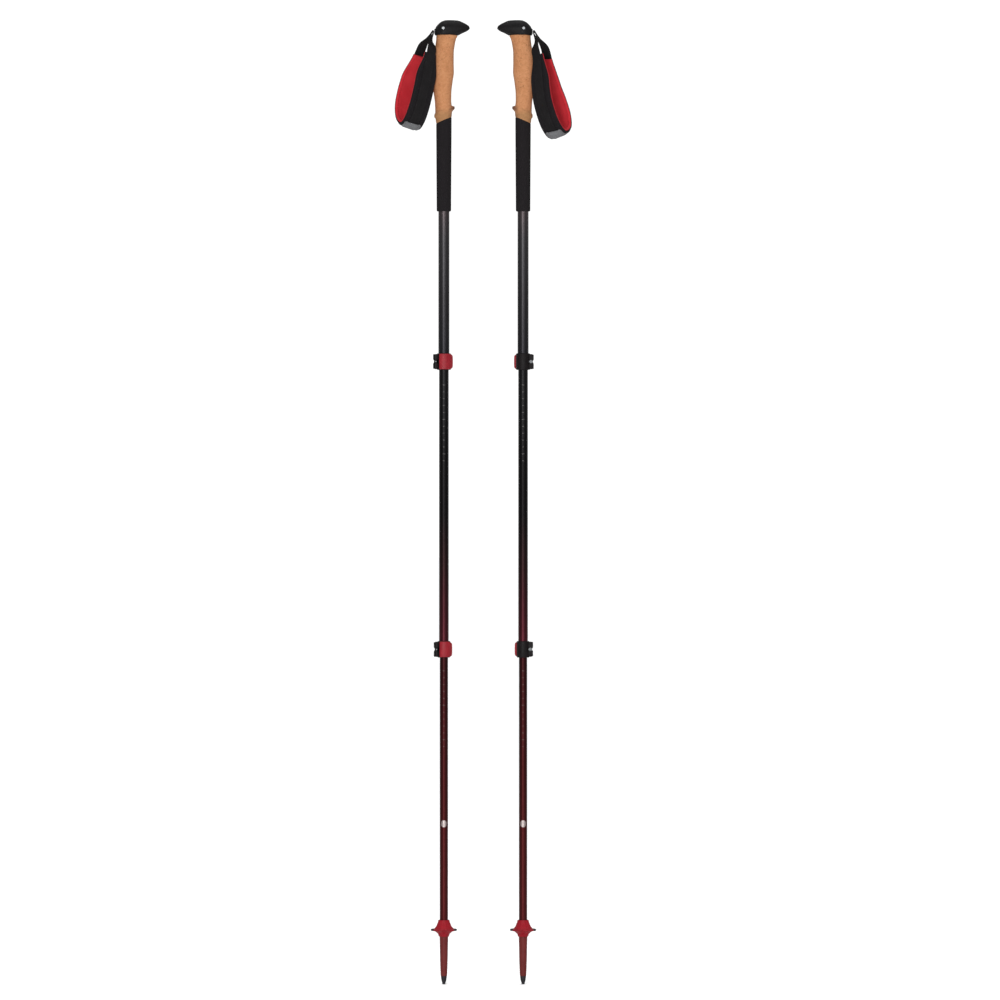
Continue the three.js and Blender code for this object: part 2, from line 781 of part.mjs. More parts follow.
/** Every piece of one pole but its strap, as [name, geometry, material]. */
function polePieces() {
  return [
    ['pommel', pommelGeometry(), finishes.rubber],
    ['head_insert', insertGeometry(), finishes.hardPlastic],
    ['head_pin', pinGeometry(), finishes.pin],
    ['cork_grip', corkGeometry(), finishes.cork],
    ['foam_sleeve', foamGeometry(), finishes.foam],
    ['strap_wedge', wedgeGeometry(), finishes.hardPlastic],
    ['upper_tube', tubeGeometry(tube.upperRadius, upperTubeBottom, upperTubeTop), finishes.upperTube],
    ...lockPieces('upper', lockSizes(tube.upperRadius, upperTubeBottom)),
    ['middle_tube', tubeGeometry(middleRadius, middleTubeBottom, middleTubeTop), finishes.middleTube],
    ['middle_bush', bushGeometry(middleRadius, middleTubeTop), finishes.bush],
    ...lockPieces('lower', lockSizes(middleRadius, middleTubeBottom)),
    ['lower_tube', tubeGeometry(lowerRadius, lowerTubeBottom, lowerTubeTop), finishes.lowerTube],
    ['lower_bush', bushGeometry(lowerRadius, lowerTubeTop), finishes.bush],
    ['flex_tip', flexTipGeometry(), finishes.tipPlastic],
    ['carbide_tip', carbideGeometry(), finishes.carbide],
    ['basket_hub', hubGeometry(), finishes.redPlastic],
    ['basket_disc', discGeometry(), finishes.basketRim],
  ];
}

/** The four layers of a strap. mirrored makes it for the other hand. */
function strapPieces(route, mirrored) {
  const layers = strapGeometries(route);
  const looks = {
    strap_webbing: finishes.webbing,
    strap_pad: finishes.padding,
    strap_lining: finishes.lining,
    strap_patch: finishes.patch,
  };
  return Object.entries(layers).map(([name, geometry]) => {
    const shape = mirrored ? clean(geometry.clone().scale(1, -1, 1)) : geometry;
    return [name, shape, looks[name]];
  });
}

function pole(side, pieces) {
  const group = new THREE.Group();
  for (const [name, geometry, material] of pieces) {
    const mesh = new THREE.Mesh(geometry, material);
    mesh.name = `${side}_${name}`;
    group.add(mesh);
  }
  return group;
}

const shared = polePieces();
const leftPole = pole('left', [...shared, ...strapPieces(strapRoutes.left, false)]);
leftPole.position.x = -poleSpacing / 2;

const rightPole = pole('right', [...shared, ...strapPieces(strapRoutes.right, true)]);
rightPole.position.x = poleSpacing / 2;
rightPole.rotation.z = Math.PI;

const trekkingPoles = new THREE.Group();
trekkingPoles.add(leftPole, rightPole);

export default trekkingPoles;
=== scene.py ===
"""A pair of trekking poles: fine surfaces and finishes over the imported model.

Shapes are drawn in one pole's own frame, in millimetres: its axis is Z, its tip is at z = 0,
its beak points along +X and its strap hangs at -X. place() then puts each shape on both
poles, in metres.
"""

import math

import bmesh
import bpy
from mathutils import Matrix, Vector


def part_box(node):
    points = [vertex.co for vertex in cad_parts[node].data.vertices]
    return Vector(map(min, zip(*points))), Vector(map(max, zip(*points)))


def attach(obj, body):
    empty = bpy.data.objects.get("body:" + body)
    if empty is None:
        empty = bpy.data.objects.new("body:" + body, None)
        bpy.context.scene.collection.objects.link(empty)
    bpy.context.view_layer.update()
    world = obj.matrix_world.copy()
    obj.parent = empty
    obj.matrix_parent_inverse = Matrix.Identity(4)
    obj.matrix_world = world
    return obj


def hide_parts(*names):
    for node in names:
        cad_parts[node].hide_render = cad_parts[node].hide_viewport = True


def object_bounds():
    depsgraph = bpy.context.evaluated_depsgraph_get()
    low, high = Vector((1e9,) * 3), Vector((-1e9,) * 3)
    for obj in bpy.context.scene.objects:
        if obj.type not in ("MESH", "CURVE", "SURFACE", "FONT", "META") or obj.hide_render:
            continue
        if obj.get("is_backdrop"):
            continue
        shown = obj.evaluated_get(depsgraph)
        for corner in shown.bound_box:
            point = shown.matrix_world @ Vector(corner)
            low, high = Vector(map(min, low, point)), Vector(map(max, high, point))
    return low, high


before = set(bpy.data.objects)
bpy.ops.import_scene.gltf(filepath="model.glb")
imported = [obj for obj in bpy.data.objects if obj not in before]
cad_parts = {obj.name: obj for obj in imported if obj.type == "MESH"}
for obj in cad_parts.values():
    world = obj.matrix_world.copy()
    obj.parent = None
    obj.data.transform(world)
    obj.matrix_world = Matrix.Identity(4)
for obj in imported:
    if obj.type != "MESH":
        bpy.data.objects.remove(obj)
CAD_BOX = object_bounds()

SIDES = ("left", "right")
MM = 0.001


def axis_of(side):
    low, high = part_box(f"{side}_upper_tube")
    return Vector(((low.x + high.x) / 2, (low.y + high.y) / 2, 0))


def pole_frame(side, turn):
    return Matrix.Translation(axis_of(side)) @ Matrix.Rotation(turn, 4, "Z") @ Matrix.Scale(MM, 4)


POLE = {"left": pole_frame("left", 0), "right": pole_frame("right", math.pi)}


def extent(piece):
    """Lowest and highest corner of a piece, in millimetres, in its pole's own frame."""
    low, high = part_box(f"left_{piece}")
    origin = axis_of("left")
    return (low - origin) / MM, (high - origin) / MM


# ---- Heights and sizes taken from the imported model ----

AXIS = 0.01  # the smallest radius
GAP = 0.3  # clearance where it doesn't show
SEAM = 0.03  # between pieces that meet in plain view
CORK_LENGTH = 123.3
SEAM_SLOPE = 0.42  # rise of the cork's foot towards the beak
HEAD_BOTTOM, HEAD_TOP = (corner.z for corner in extent("pommel"))
CORK_TOP = HEAD_BOTTOM - SEAM
CORK_FOOT = extent("cork_grip")[1].z - CORK_LENGTH
FOAM_TOP = CORK_FOOT - SEAM
FOAM_BOTTOM = extent("foam_sleeve")[0].z
TUBES = ("upper", "middle", "lower")
UPPER, MIDDLE, LOWER = ([corner.z for corner in extent(f"{name}_tube")] for name in TUBES)
UPPER_RADIUS, MIDDLE_RADIUS, LOWER_RADIUS = (extent(f"{name}_tube")[1].x for name in TUBES)
GRIP_BORE = UPPER_RADIUS + GAP


# ---- Curves ----


def smooth(t):
    t = min(1.0, max(0.0, t))
    return t * t * (3 - 2 * t)


def mix(a, b, t):
    return a + (b - a) * t


def through(places, values):
    """A smooth function through the points (place, value) that doesn't overshoot them."""
    count = len(places)
    steps = [places[i + 1] - places[i] for i in range(count - 1)]
    rises = [(values[i + 1] - values[i]) / steps[i] for i in range(count - 1)]
    slopes = [rises[0]]
    for before, after in zip(rises, rises[1:]):
        slopes.append(0.0 if before * after <= 0 else 2 * before * after / (before + after))
    slopes.append(rises[-1])

    def at(place):
        i = 0
        while i < count - 2 and place > places[i + 1]:
            i += 1
        t = min(1.0, max(0.0, (place - places[i]) / steps[i]))
        return (
            values[i] * (1 + 2 * t) * (1 - t) ** 2
            + slopes[i] * steps[i] * t * (1 - t) ** 2
            + values[i + 1] * t * t * (3 - 2 * t)
            + slopes[i + 1] * steps[i] * t * t * (t - 1)
        )

    return at


def rounded(outline, radius, steps=4):
    """An outline of (x, y) points with rounded corners. A third number is that corner's own radius."""
    result = []
    count = len(outline)
    for i, point in enumerate(outline):
        corner = Vector(point[:2])
        size = point[2] if len(point) > 2 else radius
        before, after = (Vector(outline[(i + k) % count][:2]) for k in (-1, 1))
        back, ahead = before - corner, after - corner
        size = min(size, 0.49 * back.length, 0.49 * ahead.length)
        if size < 1e-4:
            result.append(tuple(corner))
            continue
        start, end = corner + back.normalized() * size, corner + ahead.normalized() * size
        for k in range(steps + 1):
            t = k / steps
            bend = start * (1 - t) ** 2 + corner * 2 * t * (1 - t) + end * t * t
            result.append(tuple(bend))
    return result


# ---- Meshes ----


def surface(name, rows, loop=False, uv=None):
    """A closed mesh through rows of points. loop joins the last row to the first."""
    count = len(rows[0])
    faces, corners = [], []
    for r in range(len(rows) if loop else len(rows) - 1):
        below, above = r * count, (r + 1) % len(rows) * count
        for i in range(count):
            j = (i + 1) % count
            faces.append((below + i, below + j, above + j, above + i))
            corners += [(r, i), (r, i + 1), (r + 1, i + 1), (r + 1, i)]
    if not loop:
        last = (len(rows) - 1) * count
        faces.append(tuple(reversed(range(count))))
        corners += [(0, i) for i in reversed(range(count))]
        faces.append(tuple(range(last, last + count)))
        corners += [(len(rows) - 1, i) for i in range(count)]
    mesh = bpy.data.meshes.new(name)
    mesh.from_pydata([tuple(p) for row in rows for p in row], [], faces)
    if uv:
        layer = mesh.uv_layers.new(name="pattern")
        for spot, corner in zip(layer.data, corners):
            spot.uv = uv(*corner)
    finish_normals(mesh)
    return mesh


def finish_normals(mesh, sharp=38):
    """Turns a closed mesh's faces outward and shades it smooth, but for its edges."""
    form = bmesh.new()
    form.from_mesh(mesh)
    if form.calc_volume(signed=True) < 0:
        bmesh.ops.reverse_faces(form, faces=form.faces)
        form.to_mesh(mesh)
    form.free()
    mesh.shade_smooth()
    mesh.set_sharp_from_angle(angle=math.radians(sharp))
    mesh.update()


def turned(name, outline, segments=72, centre=(0, 0), wave=None):
    """A closed outline of (radius, z) turned about Z. wave(angle, z, radius) adds to the radius."""
    rows = []
    for radius, z in outline:
        row = []
        for i in range(segments):
            angle = 2 * math.pi * i / segments
            reach = radius + (wave(angle, z, radius) if wave else 0)
            row.append((centre[0] + reach * math.cos(angle), centre[1] + reach * math.sin(angle), z))
        rows.append(row)
    heights = [z for _, z in outline]
    return surface(name, rows, loop=True, uv=lambda r, i: (i / segments, heights[r % len(heights)] * MM))


def prism(name, outline, depths, inset=0.0):
    """An outline of (x, z) between two values of y. inset rounds its end edges."""
    middle = sum((Vector(p) for p in outline), Vector((0, 0))) / len(outline)
    rows = []
    start, end = depths
    steps = [(0, inset), (0.3 * inset, 0.3 * inset), (inset, 0)] if inset else [(0, 0)]  # (depth, shrink)
    levels = [(start + d, s) for d, s in steps] + [(end - d, s) for d, s in reversed(steps)]
    for depth, shrink in levels:
        row = []
        for point in outline:
            away = (Vector(point) - middle).normalized()
            x, z = Vector(point) - away * shrink
            row.append((x, depth, z))
        rows.append(row)
    return surface(name, rows)


def joined(name, *meshes):
    """One mesh of several, whose shells may pass through each other."""
    vertices, faces, uvs = [], [], []
    for mesh in meshes:
        first = len(vertices)
        vertices += [tuple(v.co) for v in mesh.vertices]
        layer = mesh.uv_layers.get("pattern")
        for polygon in mesh.polygons:
            faces.append(tuple(first + v for v in polygon.vertices))
            uvs += [tuple(layer.data[k].uv) if layer else (0, 0) for k in polygon.loop_indices]
    result = bpy.data.meshes.new(name)
    result.from_pydata(vertices, [], faces)
    layer = result.uv_layers.new(name="pattern")
    for spot, uv in zip(layer.data, uvs):
        spot.uv = uv
    finish_normals(result)
    return result


def show(name, data):
    """An object in the scene."""
    thing = bpy.data.objects.new(name, data)
    bpy.context.scene.collection.objects.link(thing)
    return thing


def boolean(name, mesh, add=(), cut=()):
    """A mesh with others added to it and then others cut out of it."""
    body, tools = show(name, mesh), []
    for operation, other in [("UNION", other) for other in add] + [("DIFFERENCE", other) for other in cut]:
        tools.append(show(name + "_tool", other))
        modifier = body.modifiers.new("cut", "BOOLEAN")
        modifier.operation, modifier.solver, modifier.object = operation, "EXACT", tools[-1]
    graph = bpy.context.evaluated_depsgraph_get()
    result = bpy.data.meshes.new_from_object(body.evaluated_get(graph))
    for used in [body, *tools]:
        bpy.data.objects.remove(used)
    result.name = name
    finish_normals(result, 30)
    return result


def place(name, mesh, look, body, replaces, slot, mirrored=False, sides=SIDES):
    """Puts a copy of a mesh on each pole. mirrored makes the right one for the other hand."""
    pieces = []
    for side in sides:
        copy = mesh.copy()
        if mirrored and side == "right":
            copy.transform(Matrix.Scale(-1, 4, (0, 1, 0)))
            copy.flip_normals()
        copy.transform(POLE[side])
        copy.materials.clear()
        for material in look if isinstance(look, (list, tuple)) else [look]:
            copy.materials.append(material)
        piece = show(f"{side}_{name}", copy)
        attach(piece, f"{side}_{body}")
        if replaces:
            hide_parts(*(f"{side}_{node}" for node in replaces))
        pieces.append(piece)
    return pieces


# ---- Finishes ----


LIT = 1.75  # how much brighter than white paper the light makes a face that looks at the camera


def rgb(code):
    """The linear colour that looks like an sRGB hex code under the studio light."""
    values = [int(code[i : i + 2], 16) / 255 for i in (1, 3, 5)]
    return (*((v / 12.92 if v <= 0.04045 else ((v + 0.055) / 1.055) ** 2.4) / LIT for v in values), 1)


class Tree:
    """A node tree that is put together node by node."""

    def __init__(self, owner):
        owner.use_nodes = True
        self.nodes, self.links = owner.node_tree.nodes, owner.node_tree.links

    def node(self, kind, inputs=None, **settings):
        made = self.nodes.new("ShaderNode" + kind)
        for key, value in settings.items():
            setattr(made, key, value)
        self.feed(made, inputs or {})
        return made

    def feed(self, node, inputs):
        """Links or sets a node's inputs. A text is a hex colour."""
        for key, value in inputs.items():
            if isinstance(value, bpy.types.NodeSocket):
                self.links.new(value, node.inputs[key])
            else:
                node.inputs[key].default_value = rgb(value) if isinstance(value, str) else value

    def split(self, vector):
        return self.node("SeparateXYZ", {0: vector}).outputs

    def range(self, value, low, high, to_low=0.0, to_high=1.0, **settings):
        inputs = {"Value": value, "From Min": low, "From Max": high, "To Min": to_low, "To Max": to_high}
        return self.node("MapRange", inputs, **settings).outputs["Result"]


class Look(Tree):
    """A procedural material."""

    def __init__(self, name, roughness=0.5, metallic=0.0, specular=0.5):
        self.material = bpy.data.materials.new(name)
        super().__init__(self.material)
        self.shader = self.nodes["Principled BSDF"]
        numbers = {"Roughness": roughness, "Metallic": metallic, "Specular IOR Level": specular}
        self.feed(self.shader, numbers)

    def own(self):
        return self.node("TexCoord").outputs["Object"]

    def pattern(self):
        return self.node("UVMap", uv_map="pattern").outputs["UV"]

    def scaled(self, vector, scale):
        return self.node("Mapping", {"Vector": vector, "Scale": scale}).outputs["Vector"]

    def noise(self, scale, detail=3.0, roughness=0.5, vector=None):
        inputs = {"Vector": vector or self.own(), "Scale": scale, "Detail": detail, "Roughness": roughness}
        return self.node("TexNoise", inputs).outputs["Fac"]

    def cells(self, scale, feature="F1", output="Distance", randomness=1.0, vector=None):
        inputs = {"Vector": vector or self.own(), "Scale": scale, "Randomness": randomness}
        return self.node("TexVoronoi", inputs, feature=feature).outputs[output]

    def ramp(self, value, *stops):
        """A colour ramp. Each stop is (place, colour or grey)."""
        made = self.node("ValToRGB", {0: value})
        elements = made.color_ramp.elements
        while len(elements) < len(stops):
            elements.new(1.0)
        for element, (where, colour) in zip(elements, stops):
            element.position = where
            element.color = rgb(colour) if isinstance(colour, str) else (colour, colour, colour, 1)
        return made.outputs["Color"]

    def math(self, operation, a, b=0.0):
        return self.node("Math", {0: a, 1: b}, operation=operation).outputs[0]

    def mix(self, share, a, b, how="MIX"):
        return self.node("Mix", {0: share, 6: a, 7: b}, data_type="RGBA", blend_type=how).outputs[2]

    def times(self, a, b):
        return self.math("MULTIPLY", a, b)

    def tones(self, pattern, dark, light):
        return self.ramp(pattern, (0.3, dark), (0.7, light))

    def plus(self, a, b):
        return self.math("ADD", a, b)

    def even(self, pattern, low, high):
        """The middle of a pattern's range, spread from low to high."""
        return self.range(pattern, 0.3, 0.7, low, high)

    def ridges(self, place):
        """Round ridges, one for each whole number."""
        return self.math("POWER", self.math("SINE", self.times(place, math.pi)), 2.0)

    def drawn(self, across, along, detail=3, roughness=0.6):
        """Noise drawn out along the pole."""
        return self.noise(1, detail, roughness, self.scaled(self.own(), (across, across, along)))

    def finish(self, tone, sheen=None, relief=None):
        """tone is the colour, sheen (pattern, low, high) the roughness, relief (height, strength, mm)."""
        self.feed(self.shader, {"Base Color": tone})
        if sheen:
            self.feed(self.shader, {"Roughness": self.even(*sheen)})
        if relief:
            height, strength, depth = relief
            bump = self.node("Bump", {"Height": height, "Strength": strength, "Distance": depth * MM})
            self.feed(self.shader, {"Normal": bump.outputs["Normal"]})
        return self.material


CORK_COLLAR = (1.272, 1.262)  # heights between which the cork turns to its darker collar


def cork_look():
    look = Look("cork", 0.8, specular=0.2)
    grains = look.split(look.cells(430, output="Color"))
    tone = look.ramp(grains[0], (0.0, "#ab7048"), (0.45, "#bd8056"), (1.0, "#ca9064"))
    fine = look.noise(2200, 4, 0.65)
    tone = look.mix(0.35, tone, look.tones(fine, "#a0683e", "#d29b70"))
    broad = look.noise(55, 2)
    tone = look.mix(0.3, tone, look.ramp(broad, (0.35, "#b17448"), (0.65, "#c4895e")))
    speck = look.ramp(look.noise(360, 5, 0.6), (0.61, 0.0), (0.68, 1.0))
    streak = look.ramp(look.drawn(260, 900), (0.63, 0.0), (0.7, 1.0))
    flecks = look.math("MAXIMUM", speck, streak)
    tone = look.mix(look.times(flecks, 0.7), tone, "#6b4226")
    height = look.split(look.own())[2]
    collar = look.range(height, *CORK_COLLAR)
    tone = look.mix(look.times(collar, 0.75), tone, "#976f48")
    # painted shadow: the cork darkens on and below the front of its finger ledge
    shade = look.node("Attribute", attribute_name="shade").outputs["Fac"]
    tone = look.mix(look.times(shade, 0.85), tone, "#4f3129")
    edges = look.ramp(look.cells(430, "DISTANCE_TO_EDGE"), (0.0, 0.0), (0.12, 1.0))
    relief = look.math("SUBTRACT", look.plus(look.times(edges, 0.35), fine), flecks)
    return look.finish(tone, (fine, 0.72, 0.9), (relief, 0.5, 0.2))


def foam_look():
    look = Look("foam", 0.95, specular=0.05)
    pores = look.cells(1100)
    fine = look.noise(900, 4, 0.6)
    skin = look.ramp(fine, (0.3, "#171516"), (0.75, "#272426"))
    # painted shade: the foam is darker in its pores
    tone = look.mix(0.5, skin, look.ramp(pores, (0.1, "#0f0e0f"), (0.5, "#221f21")))
    relief = look.plus(look.times(pores, 0.8), look.times(fine, 0.5))
    return look.finish(tone, (fine, 0.86, 0.98), (relief, 0.9, 0.4))


def rubber_look():
    look = Look("rubber", 0.5, specular=0.08)
    grain = look.noise(1300, 3, 0.55)
    broad = look.noise(45, 3)
    tone = look.tones(broad, "#0f0e0f", "#191718")
    dust = look.ramp(look.noise(260, 5, 0.7), (0.56, 0.0), (0.75, 0.25))
    tone = look.mix(dust, tone, "#2c2a2a")
    return look.finish(tone, (broad, 0.42, 0.6), (grain, 0.7, 0.25))


def black_plastic_look():
    look = Look("black_nylon", 0.48, specular=0.07)
    grain = look.noise(2600, 2, 0.5)
    broad = look.noise(120, 3)
    tone = look.tones(broad, "#0e0b0c", "#171314")
    return look.finish(tone, (broad, 0.4, 0.58), (grain, 0.2, 0.1))


def coloured_plastic_look(name, dark, light, roughness, specular=0.45):
    look = Look(name, roughness, specular=specular)
    broad = look.noise(90, 3, 0.5)
    flow = look.drawn(500, 90, 3, 0.5)
    tone = look.mix(0.4, *(look.tones(part, dark, light) for part in (broad, flow)))
    scuffs = look.ramp(look.drawn(1500, 260, 5, 0.7), (0.66, 0.0), (0.8, 0.2))
    tone = look.mix(scuffs, tone, light)
    return look.finish(tone, (broad, roughness - 0.06, roughness + 0.08), (look.noise(2400, 2), 0.12, 0.1))


def rim_look():
    """Red plastic, with painted shade in dark grey where the rim points to either side."""
    look = Look("red_rim_painted_side_shade", 0.45, specular=0.1)
    turn = look.split(look.pattern())[0]
    aside = look.math("ABSOLUTE", look.math("COSINE", look.times(turn, 2 * math.pi)))
    grain = look.noise(120, 3)
    red = look.tones(grain, "#800e1a", "#981a25")
    side_shade = look.tones(grain, "#1f1c1e", "#312d2f")
    # painted shade: dark grey over the red where the rim points to either side
    tone = look.mix(look.ramp(aside, (0.74, 0.0), (0.9, 1.0)), red, side_shade)
    return look.finish(tone, (grain, 0.4, 0.55), (look.noise(2400, 2), 0.12, 0.1))


def metal_look(name, dark, light, roughness=0.32):
    look = Look(name, roughness, metallic=1.0)
    brushed = look.drawn(2600, 160)
    tone = look.ramp(brushed, (0.25, dark), (0.75, light))
    return look.finish(tone, (brushed, roughness - 0.07, roughness + 0.1), (brushed, 0.15, 0.05))


def tube_look(name, low, high, *stops, marks=()):
    """An anodised tube whose colour fades along it. stops are (height in mm, colour).

    A mark is (middle height, half height, half width in turns, colour, strength), in front and behind.
    """
    look = Look(name, 0.34, metallic=0.8, specular=0.12)
    height = look.split(look.own())[2]
    share = look.range(height, low * MM, high * MM)
    tone = look.ramp(share, *(((z - low) / (high - low), colour) for z, colour in stops))
    grain = look.drawn(3200, 26, 3, 0.55)
    tone = look.mix(0.5, tone, look.ramp(grain, (0.3, 0.45), (0.75, 1.0)), "MULTIPLY")
    u, v, _ = look.split(look.pattern())
    for centre, half, width, colour, strength in marks:
        up = look.math("DIVIDE", look.math("SUBTRACT", v, centre * MM), half * MM)
        aside = look.math("SUBTRACT", look.math("ABSOLUTE", look.math("SUBTRACT", u, 0.5)), 0.25)
        aside = look.math("DIVIDE", aside, width)
        reach = look.plus(*(look.math("POWER", look.math("ABSOLUTE", way), 2.5) for way in (up, aside)))
        tone = look.mix(look.times(look.ramp(reach, (0.8, 1.0), (1.0, 0.0)), strength), tone, colour)
    return look.finish(tone, (grain, 0.3, 0.42), (grain, 0.08, 0.05))


def woven_look(name, dark, light, pitch, roughness=0.85, specular=0.1, strength=0.8):
    """Plain weave in the piece's own flat pattern, with painted shade in its hollows. pitch is one thread, in
    mm.
    """
    look = Look(name, roughness, specular=specular)
    flat = look.scaled(look.pattern(), (1 / (pitch * MM),) * 3)
    across, along, _ = look.split(flat)
    humps = [look.ridges(way) for way in (across, along)]
    checker = look.node("TexChecker", {"Vector": flat, "Scale": 1.0})
    over = [look.times(humps[i], look.range(humps[1 - i], 0, 1, 0.45, 1.0)) for i in (0, 1)]
    weave = look.node("Mix", {0: checker.outputs["Fac"], 2: over[0], 3: over[1]}, data_type="FLOAT")
    height = weave.outputs[0]
    fuzz = look.noise(3500, 3, 0.6)
    # painted shade: darker where the weave is low, between the raised threads
    tone = look.mix(look.times(height, 0.85), dark, light)
    tone = look.mix(0.25, tone, look.tones(look.noise(70, 3), dark, light))
    relief = look.plus(height, look.times(fuzz, 0.25))
    return look.finish(tone, None, (relief, strength, 0.25))


def air_mesh_look():
    """Black spacer mesh: rows of small round holes between raised threads, with painted shade in the holes.
    """
    look = Look("air_mesh", 0.9, specular=0.08)
    flat = look.scaled(look.pattern(), (1 / (1.7 * MM), 1 / (1.5 * MM), 1))
    holes = look.cells(1.0, randomness=0.0, vector=flat)
    threads = look.ramp(holes, (0.2, 0.0), (0.42, 1.0))
    fuzz = look.noise(2600, 4, 0.65)
    # painted shade: near black in the holes, lighter on the threads
    tone = look.mix(threads, "#070607", look.tones(fuzz, "#151315", "#252225"))
    relief = look.plus(threads, look.times(fuzz, 0.35))
    return look.finish(tone, (fuzz, 0.82, 0.95), (relief, 0.7, 0.3))


def lining_look():
    """Soft red knit with fine ribs and a little nap, with painted shade between the ribs."""
    look = Look("red_knit", 0.88, specular=0.12)
    flat = look.scaled(look.pattern(), (1 / (0.9 * MM), 1 / (1.1 * MM), 1))
    across, along, _ = look.split(flat)
    knit = look.times(look.ridges(across), look.range(look.ridges(along), 0, 1, 0.5, 1.0))
    fuzz = look.noise(2400, 4, 0.65)
    # painted shade: darker between the ribs of the knit, lighter on them
    tone = look.mix(knit, "#a81c26", "#dd3641")
    tone = look.mix(0.3, tone, look.tones(look.noise(60, 3), "#b32029", "#d83a42"))
    relief = look.plus(knit, look.times(fuzz, 0.5))
    return look.finish(tone, None, (relief, 0.6, 0.25))


CORK = cork_look()
FOAM = foam_look()
RUBBER = rubber_look()
NYLON = black_plastic_look()
RED_LEVER = coloured_plastic_look("red_lever", "#80121f", "#98222c", 0.42, 0.12)
RED_HUB = coloured_plastic_look("red_hub", "#8c0e1c", "#a01826", 0.48, 0.1)
TIP_PLASTIC = coloured_plastic_look("tip_plastic", "#5f1a19", "#702826", 0.45, 0.12)
RIM = rim_look()
ACETAL = coloured_plastic_look("acetal", "#c9c5ba", "#e0ddd4", 0.5)
STEEL = metal_look("zinc_steel", "#4a4b4d", "#747678", 0.42)
DARK_STEEL = metal_look("dark_steel", "#19191a", "#323233", 0.5)
PIN_STEEL = metal_look("brushed_pin", "#6c6e70", "#97999b", 0.4)
CARBIDE = metal_look("carbide", "#242326", "#4c4a4d", 0.4)
WEBBING = woven_look("webbing", "#0c0b0c", "#242123", 0.85)
PATCH = woven_look("grey_patch", "#4a4a4c", "#8a8b8e", 0.5, 0.7, 0.3, 0.4)
AIR_MESH = air_mesh_look()
RED_KNIT = lining_look()
THREAD = woven_look("black_thread", "#1b191b", "#3a3739", 0.3)
RED_THREAD = woven_look("red_thread", "#7c141c", "#b52e36", 0.3)


def scale_marks(top, count=12):
    """Plain ticks every 10 mm below a height, with a longer one first and after each five."""
    return [(top - 10 * k, 0.35, 0.03 if k % 5 else 0.055, "#6d6b6a", 0.45) for k in range(count)]


OVAL_MARK = (233, 5.2, 0.115, "#b9aeac", 0.8)
UPPER_TUBE = tube_look(
    "upper_tube", *UPPER,
    (UPPER[0], "#27262a"), (1000, "#343335"), (1080, "#3f3e40"), (1120, "#4c4547"), (UPPER[1], "#4c4547"),
)
MIDDLE_TUBE = tube_look(
    "middle_tube", *MIDDLE,
    (MIDDLE[0], "#501e27"), (545, "#3a171d"), (610, "#271617"), (680, "#131112"), (780, "#131213"),
    (870, "#1d1d1e"), (MIDDLE[1], "#202021"), marks=scale_marks(870),
)
LOWER_TUBE = tube_look(
    "lower_tube", *LOWER,
    (LOWER[0], "#521c1d"), (130, "#501b1c"), (280, "#421415"), (400, "#381012"), (456, "#331113"),
    (LOWER[1], "#331113"), marks=[*scale_marks(455), OVAL_MARK],
)


# ---- Grip ----


def grip_ring(z, rear, front, half, slope=0.0, taper=0.0, count=96):
    """A ring round the pole, round behind and long in front."""
    middle = min(rear + half, (front + rear) / 2)
    row = []
    for i in range(count):
        angle = 2 * math.pi * i / count
        ahead = math.cos(angle)
        x = middle + ahead * (front - middle if ahead > 0 else middle - rear)
        y = half * math.sin(angle) * (1 - taper * max(0.0, ahead))
        row.append((x, y, z + slope * x))
    return row


def grip_rings(table, steps, **settings):
    """Rings through a table of (z, rear, front, half, slope), with steps between its ends."""
    table = sorted(table)
    heights = [row[0] for row in table]
    curves = [through(heights, [row[k] for row in table]) for k in range(1, 5)]
    rings = []
    for k in range(steps + 1):
        z = mix(heights[0], heights[-1], k / steps)
        rings.append(grip_ring(z, *(curve(z) for curve in curves), **settings))
    return rings


def along_y(mesh, x, z):
    """Lays a mesh turned about Z along Y, through the point (x, z)."""
    mesh.transform(Matrix.Translation((x, 0, z)) @ Matrix.Rotation(math.radians(-90), 4, "X"))
    return mesh


def rod(name, radius, low, high, segments=48, centre=(0, 0), bevel=0.0):
    """A round bar along Z. bevel cuts off its two end edges."""
    outline = [(radius, low), (radius, high)]
    if bevel:
        inset = radius - bevel
        outline = [(inset, low), (radius, low + bevel), (radius, high - bevel), (inset, high)]
    turns = [2 * math.pi * i / segments for i in range(segments)]
    (x, y), rows = centre, []
    for r, z in outline:
        rows.append([(x + r * math.cos(turn), y + r * math.sin(turn), z) for turn in turns])
    return surface(name, rows, uv=lambda r, i: (i / segments * 2 * math.pi * radius * MM, rows[r][0][2] * MM))


def block(name, x, y, z):
    """A box between two values of x, y and z."""
    rows = [[(x[i], y[j], height) for i, j in ((0, 0), (1, 0), (1, 1), (0, 1))] for height in z]
    return surface(name, rows)


WEDGE_LOW, WEDGE_HIGH = extent("strap_wedge")
WEDGE_MIDDLE = (WEDGE_LOW.z + WEDGE_HIGH.z) / 2
PIN_LOW, PIN_HIGH = extent("head_pin")
PIN_X, PIN_Z = (PIN_LOW.x + PIN_HIGH.x) / 2, (PIN_LOW.z + PIN_HIGH.z) / 2
PIN_RADIUS = (PIN_HIGH.x - PIN_LOW.x) / 2
THROUGH = 30  # reaches past the head on either side


